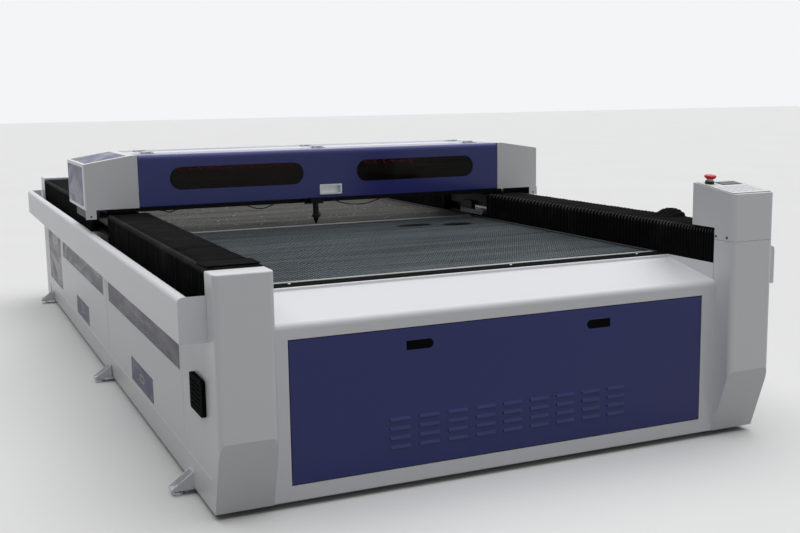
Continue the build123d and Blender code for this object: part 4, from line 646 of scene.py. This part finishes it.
def screws(name, places, direction, radius, body, material=bright_steel):
    """Pan head screws with a recess at several places that face one way."""
    recess = radius * 0.34
    profile = [(0.0, -0.0002), (radius, -0.0002), (radius, radius * 0.30)]
    profile += [(radius * 0.82, radius * 0.52), (recess, radius * 0.60)]
    profile += [(recess * 0.6, radius * 0.25), (0.0, radius * 0.22)]
    turned = Vector(direction).to_track_quat("Z", "Y").to_matrix().to_4x4()
    repeat(name, lathe(profile, 10, turned), places, material, body)


def black_screws(name, places, direction, radius, body):
    """Black screws of the same form."""
    screws(name, places, direction, radius, body, black_plastic)


def wire_along(name, points, radius, body):
    """A black wire or hose that follows a smooth line through several points."""
    curve = bpy.data.curves.new(name, "CURVE")
    curve.dimensions = "3D"
    spline = curve.splines.new("NURBS")
    spline.points.add(len(points) - 1)
    for spot, point in zip(spline.points, points):
        spot.co = (*point, 1.0)
    spline.order_u = 3
    spline.use_endpoint_u = True
    curve.resolution_u = 6
    curve.bevel_depth = radius
    curve.bevel_resolution = 2
    curve.use_fill_caps = True
    holder = put(name, curve)
    mesh = plain_mesh(holder)
    bpy.data.objects.remove(holder)
    mesh.materials.clear()
    keep(name, mesh, black_plastic, body)


# Bellows: pleated cloth sleeves over the guide rails, fixed to the columns and to the gantry


PLEATS = 72
ROWS_IN_A_SLOPE = 3
LAST_ROW = PLEATS * 2 * ROWS_IN_A_SLOPE
CLOTH = 0.0012
BUNCHING = 0.39
UNDER_GANTRY = 0.038
SIDE_PLEAT = 0.007
SLACK, FINE_SLACK, TOP_SAG, TOP_CLEAR = 0.0012, 0.0005, 0.0008, 0.0004
RIDGE_CORNER, VALLEY_CORNER = 0.009, 0.019
HEM = 0.05
HEM_POINTS = (0, 1, 11, 12)
# Points of each row's outline that carry the painted highlight of the pleats' crests.
CREST_POINTS = (2, 3, 4, 8, 9, 10)


def scatter(number, seed):
    """A steady value from 0 to 1 for a whole number."""
    value = math.sin(number * 12.9898 + seed * 78.233) * 43758.5453
    return value - math.floor(value)


def ridge_at(place):
    """1 on a ridge between two valleys of the cloth, 0 in a valley."""
    return abs(math.sin(math.pi * place / (2 * ROWS_IN_A_SLOPE)))


def flat_size(rows):
    """The width and length of the cloth before it was pleated, over its drawn rows."""
    across = [(b - a).length for row in rows for a, b in zip(row, row[1:])]
    along = [(b - a).length for row, after in zip(rows, rows[1:]) for a, b in zip(row, after)]
    return sum(across) / len(rows), sum(along) / len(rows[0])


def bellows(name, node, side, fixed_at, top_pleat, seed, hump=None):
    """One sleeve, from the column that it is fixed to as far as the gantry."""
    low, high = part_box(node)
    moving_at = high.y + UNDER_GANTRY if fixed_at == low.y else low.y
    outer, inner = (high.x, low.x) if side > 0 else (-low.x, -high.x)

    def outline(place):
        """The sleeve's outline across the machine in one of its rows."""
        valley = 1 - ridge_at(place)
        pleat = int((place / ROWS_IN_A_SLOPE + 1) // 2)
        slack = SLACK * scatter(pleat, seed) + FINE_SLACK * scatter(pleat, seed + 3)
        far, near = outer - valley * SIDE_PLEAT - slack, inner + valley * SIDE_PLEAT + slack
        top, foot = high.z - valley * top_pleat - slack - TOP_CLEAR, low.z
        corner = RIDGE_CORNER + valley * (VALLEY_CORNER - RIDGE_CORNER)
        line = [(far, foot), (far, foot + HEM), (far, top - corner)]
        line += [(far - corner * 0.3, top - corner * 0.3), (far - corner, top)]
        for share in (0.25, 0.5, 0.75):
            sag = TOP_SAG * scatter(pleat, seed + share)
            line.append((far + (near - far) * share, top - sag))
        line += [(near + corner, top), (near + corner * 0.3, top - corner * 0.3)]
        line += [(near, top - corner), (near, foot + HEM), (near, foot)]
        return line

    def skin(depth):
        """Rows of points on the outside of the cloth, or as deep as it is thick."""
        rows = []
        for place in range(LAST_ROW + 1):
            share = place / LAST_ROW
            bunched = (1 - BUNCHING) * share + BUNCHING * share * share
            y = fixed_at + (moving_at - fixed_at) * bunched
            row = []
            for number, (x, z) in enumerate(outline(place)):
                inward = depth if x < (outer + inner) / 2 else -depth
                if number in HEM_POINTS:
                    x += inward
                else:
                    x += inward * 0.7
                    z -= depth
                lift = hump(x, y, z) if hump else 0.0
                row.append(Vector((side * x, y, z + lift)))
            rows.append(row)
        return rows

    outside, inside = skin(0.0), skin(CLOTH)

    def build(shape):
        # The painted highlight of the crests is kept on the points as the attribute ridge.
        crest_highlight = shape.verts.layers.float.new("ridge")
        skins = []
        for rows in (outside, inside):
            skins.append([[shape.verts.new(point) for point in row] for row in rows])
            for place, row in enumerate(skins[-1]):
                for number in CREST_POINTS:
                    row[number][crest_highlight] = ridge_at(place)
        for rows in skins:
            for row, after in zip(rows, rows[1:]):
                band(shape, row, after)
        for end in (0, -1):
            band(shape, skins[0][end], skins[1][end])
        for edge in (0, -1):
            band(shape, [row[edge] for row in skins[0]], [row[edge] for row in skins[1]])

    piece = keep(name, mesh_of(build), cloth, None)
    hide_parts(node)
    flat_size(outside)
    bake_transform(piece)


RUCK_AT, RUCK_REACH = (0.905, -1.515), (0.055, 0.058)
RUCK_ABOVE, RUCK_HEIGHT = 0.66, 0.029


def rucked(x, y, z):
    """The cloth is rucked up along the outer edge, a little behind the control panel."""
    if z < RUCK_ABOVE:
        return 0.0
    across = min(1.0, abs(x - RUCK_AT[0]) / RUCK_REACH[0])
    along = min(1.0, abs(y - RUCK_AT[1]) / RUCK_REACH[1])
    return RUCK_HEIGHT * math.cos(math.pi / 2 * along) ** 0.6 * math.cos(math.pi / 2 * across) ** 0.7


front_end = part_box("front_left_bellows")[0].y
rear_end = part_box("rear_left_bellows")[1].y
bellows("front_left_sleeve", "front_left_bellows", -1, front_end, top_pleat=0.0045, seed=1)
bellows("front_right_sleeve", "front_right_bellows", 1, front_end, top_pleat=0.009, seed=2, hump=rucked)
bellows("rear_left_sleeve", "rear_left_bellows", -1, rear_end, top_pleat=0.0055, seed=3)
bellows("rear_right_sleeve", "rear_right_bellows", 1, rear_end, top_pleat=0.009, seed=4)


# Honeycomb: rows of thin hexagonal cells, grown over each of the two panels


CELL_PITCH = 0.016
CELL_WALL = 0.0016
CELL_SHORT = 0.001
ROW_PITCH = CELL_PITCH * math.sqrt(0.75)
CROSS_BAR = (-0.243, -0.223)


def honeycomb_tree(material):
    """A tree that sets one cell on every spot of a grid whose odd rows are half a pitch on."""
    sizes = {"Pitch": float, "Columns": int, "Rows": int, "Cell": bpy.types.Object}
    tree = Growth("honeycomb_cells", sizes)
    pitch, columns, rows = (tree.given(label) for label in ("Pitch", "Columns", "Rows"))
    points = tree.add("GeometryNodePoints", None, {"Count": columns * rows})
    index = tree.add("GeometryNodeInputIndex")
    row = (index / columns).floor()
    across = row * pitch * math.sqrt(0.75)
    along = (index - row * columns + (row % 2.0) * 0.5) * pitch
    place = tree.add("ShaderNodeCombineXYZ", None, {0: across, 1: along})
    moved = tree.add("GeometryNodeSetPosition", None, {0: points, "Position": place})
    tree.end_in_copies("Cell", moved, material)
    return tree


def cell_mesh(depth):
    """One open cell: a thin rim and the six walls below it."""
    outer, inner = CELL_PITCH / math.sqrt(3), (CELL_PITCH - CELL_WALL) / math.sqrt(3)

    def build(shape):
        rings = [circle(shape, *ring, 6) for ring in ((outer, 0.0), (inner, 0.0), (inner, -depth))]
        for above, below in zip(rings, rings[1:]):
            band(shape, above, below, closed=True)

    return mesh_of(build, closed=False)


comb_low, comb_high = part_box("honeycomb_panels")
comb_tree = honeycomb_tree(comb)
cell = put("cell", cell_mesh(comb_high.z - comb_low.z - CELL_SHORT))
rows = int((comb_high.x - comb_low.x - CELL_PITCH / math.sqrt(0.75)) / ROW_PITCH) + 1
first_x = (comb_low.x + comb_high.x) / 2 - (rows - 1) * ROW_PITCH / 2
half = rows // 2 // 2 * 2
for label, start, end in (("front", comb_low.y, CROSS_BAR[0]), ("rear", CROSS_BAR[1], comb_high.y)):
    columns = int((end - start - CELL_PITCH * 0.5) / CELL_PITCH)
    first_y = (start + end) / 2 - (columns - 1) * CELL_PITCH / 2 - CELL_PITCH / 4
    for part, first, count in (("a", 0, half), ("b", half, rows - half)):
        sizes = {"Pitch": CELL_PITCH, "Columns": columns, "Rows": count, "Cell": cell}
        mesh = comb_tree.grow(bpy.data.meshes.new("none"), sizes)
        mesh.transform(Matrix.Translation((first_x + first * ROW_PITCH, first_y, comb_high.z)))
        piece = keep(f"honeycomb_{label}_{part}", mesh, comb, "machine", smooth=False)
        if (label, part) == ("front", "a"):
            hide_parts("honeycomb_panels")
bpy.data.objects.remove(cell)


# Fittings of the bed


RAIL_SCREWS_X, RAIL_SCREWS_IN = (-0.608, 0.161, 0.665), 0.008
STRIP_SIZE, STRIP_HEIGHT, STRIP_LET_IN = (2 * BAY_HALF_WIDTH, 0.018), 0.0040, 0.0005
rail_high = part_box("bed_front_rail")[1]
places = [(x, rail_high.y - RAIL_SCREWS_IN, rail_high.z) for x in RAIL_SCREWS_X]
screws("rail_screws", places, (0, 0, 1), radius=0.0045, body="machine")
spot = Matrix.Translation((0.0, sum(CROSS_BAR) / 2, comb_high.z - STRIP_LET_IN))
mesh = plate_mesh(STRIP_SIZE, corner=0.001, height=STRIP_HEIGHT, matrix=spot, bevel=0.0004)
keep("bed_cross_strip", mesh, soft_aluminium, "machine")


# Screws of the control head and of the covers' hinges


HEAD_SEAM_Y, HEAD_SEAM_Z = (-1.928, -1.981), 0.680
head_low, head_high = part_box("control_head")
for label, x, way in (("left", head_low.x, -1), ("right", head_high.x, 1)):
    places = [(x, y, HEAD_SEAM_Z) for y in HEAD_SEAM_Y]
    black_screws(f"head_screws_{label}", places, (way, 0, 0), radius=0.004, body="machine")

HINGES_X = (-0.741, 0.0, 0.741)
HINGE_LINES = {"front_cover": (-0.225, -1), "rear_cover": (-0.069, 1)}
LEAF_TOP, LEAF_SCREW = 0.9356, 0.0028
LEAF_HOLES = ((-0.016, 0.013), (-0.016, 0.027), (0.016, 0.013), (0.016, 0.027))
for body, (line_y, way) in HINGE_LINES.items():
    holes = [(x + offset, way * reach) for x in HINGES_X for offset, reach in LEAF_HOLES]
    moving = [(x, line_y + reach, LEAF_TOP) for x, reach in holes]
    fixed = [(x, line_y - reach, LEAF_TOP) for x, reach in holes]
    screws(f"hinge_screws_{body}", moving, (0, 0, 1), LEAF_SCREW, body)
    screws(f"hinge_screws_spine_{body}", fixed, (0, 0, 1), LEAF_SCREW, "gantry")


# Clips of the cable chain, and the wiring and air line under the gantry


CLIP_SIZE, CLIP_THICK, CLIP_LEAN = (0.0032, 0.024), 0.0015, math.radians(38)
CLIPS, CLIP_PITCH, FIRST_CLIP, CLIP_SUNK = 25, 0.0430, 0.054, 0.006
chain_low, chain_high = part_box("cable_chain")
leaning = Matrix.Rotation(math.radians(90), 4, "X") @ Matrix.Rotation(CLIP_LEAN, 4, "Z")
clip = plate_mesh(CLIP_SIZE, corner=CLIP_THICK, height=CLIP_THICK, matrix=leaning)
clip_x, clip_z = chain_low.x + FIRST_CLIP, chain_high.z - CLIP_SUNK
places = [(clip_x + CLIP_PITCH * link, chain_low.y, clip_z) for link in range(CLIPS)]
repeat("chain_clips", clip, places, clip_red, "gantry")

WIRING_LOOPS = ((-0.680, -0.640, 0.010), (-0.311, -0.222, 0.016), (0.097, 0.275, 0.020))
LOOP_TOP, LOOP_FROM_BEAM_FRONT, LOOP_TAIL = 0.698, 0.106, 0.02
loop_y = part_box("gantry_beam")[0].y + LOOP_FROM_BEAM_FRONT
for number, (start, end, drop) in enumerate(WIRING_LOOPS):
    reach = (end - start) * 0.3
    hang = [(start - LOOP_TAIL, 0.0), (start, 0.4), (start + reach, 1.1)]
    hang += [(end - reach, 1.1), (end, 0.4), (end + LOOP_TAIL, 0.0)]
    line = [(x, loop_y, LOOP_TOP - drop * share) for x, share in hang]
    wire_along(f"wiring_loop_{number}", line, radius=0.0022, body="gantry")

AIR_LINE = [(0.009, 0.008, 0.0), (0.018, 0.012, -0.001), (0.026, 0.010, -0.010), (0.022, 0.006, -0.020)]
AIR_LINE += [(0.012, 0.003, -0.024), (0.006, 0.0, -0.025)]
AIR_LINE_TOP = 0.660
tool_low, tool_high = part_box("laser_head")
tool = Vector(((tool_low.x + tool_high.x) / 2, (tool_low.y + tool_high.y) / 2, AIR_LINE_TOP))
line = [tool + Vector(point) for point in AIR_LINE]
wire_along("nozzle_air_line", line, radius=0.0016, body="head")


# Plates of the belt clamps on the gantry's feet


CLAMP_SIZE, CLAMP_THICK, CLAMP_SCREWS = (0.212, 0.020), 0.003, (-0.088, 0.088)
CLAMP_X, CLAMP_Y, CLAMP_Z = 0.7722, -0.198, 0.610
upright = Matrix.Rotation(math.radians(90), 4, "Z") @ Matrix.Rotation(math.radians(90), 4, "X")
for label, side in (("left", -1), ("right", 1)):
    spot = Matrix.Translation((side * CLAMP_X - CLAMP_THICK / 2, CLAMP_Y, CLAMP_Z))
    mesh = plate_mesh(CLAMP_SIZE, 0.003, CLAMP_THICK, spot @ upright, bevel=0.0006)
    keep(f"belt_clamp_plate_{label}", mesh, white_enamel, "gantry")
    face_x = side * (CLAMP_X - CLAMP_THICK / 2)
    heads = [(face_x, CLAMP_Y + reach, CLAMP_Z) for reach in CLAMP_SCREWS]
    black_screws(f"belt_clamp_screws_{label}", heads, (-side, 0, 0), radius=0.0035, body="gantry")


# Joints of the side sheets, and the cuffs of the front bellows


SEAM_Y, SEAM_TOP, SEAM_WIDTH = -0.222, 0.585, 0.010
FOLD_Z, FOLD_WIDTH, FOLD_END = 0.113, 0.006, 0.01
LAP, LAP_CORNER, LAP_EDGE = 0.0007, 0.0005, 0.0004
skin_low, skin_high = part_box("left_side_skin")
seam_size = (SEAM_TOP - FOLD_Z, SEAM_WIDTH)
fold_size = (skin_high.y - skin_low.y - 2 * FOLD_END, FOLD_WIDTH)
for label, side in (("left", -1), ("right", 1)):
    flat = Matrix.Rotation(math.radians(side * 90), 4, "Y")
    lengthwise = flat @ Matrix.Rotation(math.radians(90), 4, "Z")
    face_x = side * -skin_low.x
    seam_middle = Matrix.Translation((face_x, SEAM_Y, (FOLD_Z + SEAM_TOP) / 2))
    mesh = plate_mesh(seam_size, LAP_CORNER, LAP, seam_middle @ flat, LAP_EDGE)
    keep(f"side_seam_{label}", mesh, white_enamel, "machine")
    fold_middle = Matrix.Translation((face_x, (skin_low.y + skin_high.y) / 2, FOLD_Z))
    mesh = plate_mesh(fold_size, LAP_CORNER, LAP, fold_middle @ lengthwise, LAP_EDGE)
    keep(f"side_fold_{label}", mesh, white_enamel, "machine")

CUFF_START, CUFF_LENGTH, CUFF_INSET = 0.012, 0.098, 0.005
CUFF_THICK, CUFF_RAISED = 0.0016, 0.0004
for label in ("left", "right"):
    low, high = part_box(f"front_{label}_bellows")
    middle_y = front_end + CUFF_START + CUFF_LENGTH / 2
    spot = Matrix.Translation(((low.x + high.x) / 2, middle_y, high.z + CUFF_RAISED))
    size = (high.x - low.x - 2 * CUFF_INSET, CUFF_LENGTH)
    mesh = plate_mesh(size, corner=0.006, height=CUFF_THICK, matrix=spot, bevel=0.0006)
    keep(f"bellows_cuff_{label}", mesh, matt_black, "machine")


# Camera, light and floor


CAMERA_PLACE = (-1.6192, -4.7471, 1.1469)
YAW, DOWN, ROLL = math.radians(23.93), math.radians(8.85), math.radians(-0.87)
SENSOR = 36.0
PHOTO_WIDTH, FOCAL_PIXELS = 800, 1089.6
BACKDROP, AMBIENT = 0.95, 0.155
FLOOR_REACH = 60

scene = bpy.context.scene
scene.view_settings.view_transform = "Standard"


def put_looking(name, data, place, look, roll=0.0):
    """Put in the camera or a lamp, looking in a direction."""
    thing = put(name, data)
    thing.location = place
    thing.rotation_mode = "QUATERNION"
    turn = Vector(look).to_track_quat("-Z", "Y")
    thing.rotation_quaternion = turn @ Matrix.Rotation(roll, 3, "Z").to_quaternion()
    return thing


lens = bpy.data.cameras.new("camera")
lens.sensor_width = SENSOR
lens.lens = FOCAL_PIXELS / PHOTO_WIDTH * SENSOR
lens.clip_end = 100.0
gaze = (math.sin(YAW) * math.cos(DOWN), math.cos(YAW) * math.cos(DOWN), -math.sin(DOWN))
scene.camera = put_looking("camera", lens, CAMERA_PLACE, gaze, ROLL)

roof_light = bpy.data.lights.new("roof_light", "SUN")
roof_light.energy = 2.45
roof_light.angle = math.radians(88)
put_looking("roof_light", roof_light, (0.0, 0.0, 0.0), (-0.10, -0.08, -1.0))

front_fill = bpy.data.lights.new("front_fill", "AREA")
front_fill.shape = "RECTANGLE"
front_fill.size, front_fill.size_y = 5.0, 3.0
front_fill.energy = 7.0
front_fill.color = (1.0, 0.99, 0.97)
FILL_PLACE, FILL_TARGET = Vector((1.5, -7.0, 2.6)), Vector((0.0, -1.0, 0.5))
put_looking("front_fill", front_fill, FILL_PLACE, FILL_TARGET - FILL_PLACE)


def seen(graph):
    """1 for a ray that shows the surroundings, straight or in gloss or glass; 0 for light."""
    rays = ("Is Camera Ray", "Is Glossy Ray", "Is Transmission Ray")
    straight, gloss, through = (graph.add("ShaderNodeLightPath", output=ray) for ray in rays)
    return (straight + gloss + through).clamp()


world = bpy.data.worlds.new("world")
scene.world = world
world.use_nodes = True
sky = Graph(world.node_tree)
background = world.node_tree.nodes["Background"]
sky.plug(background.inputs["Color"], (0.95, 0.96, 0.98, 1.0))
sky.plug(background.inputs["Strength"], seen(sky) * (BACKDROP - AMBIENT) + AMBIENT)


def floor_paint():
    """Pale paint, which shows brighter than it lights the machine."""
    finish = Finish("floor_paint", Roughness=0.8, Specular_IOR_Level=0.2)
    cloud = finish.noise(0.8, detail=3.0)
    pale = finish.blend(cloud, (0.80, 0.80, 0.80), (0.84, 0.84, 0.835))
    finish.set(Base_Color=finish.blend(seen(finish), (0.32, 0.32, 0.32), pale))
    return finish.material


floor_mesh = bpy.data.meshes.new("floor")
corners = [(x * FLOOR_REACH, y * FLOOR_REACH, 0) for x, y in ((-1, -1), (1, -1), (1, 1), (-1, 1))]
floor_mesh.from_pydata(corners, [], [(0, 1, 2, 3)])
floor_mesh.materials.append(floor_paint())
floor = put("floor", floor_mesh)
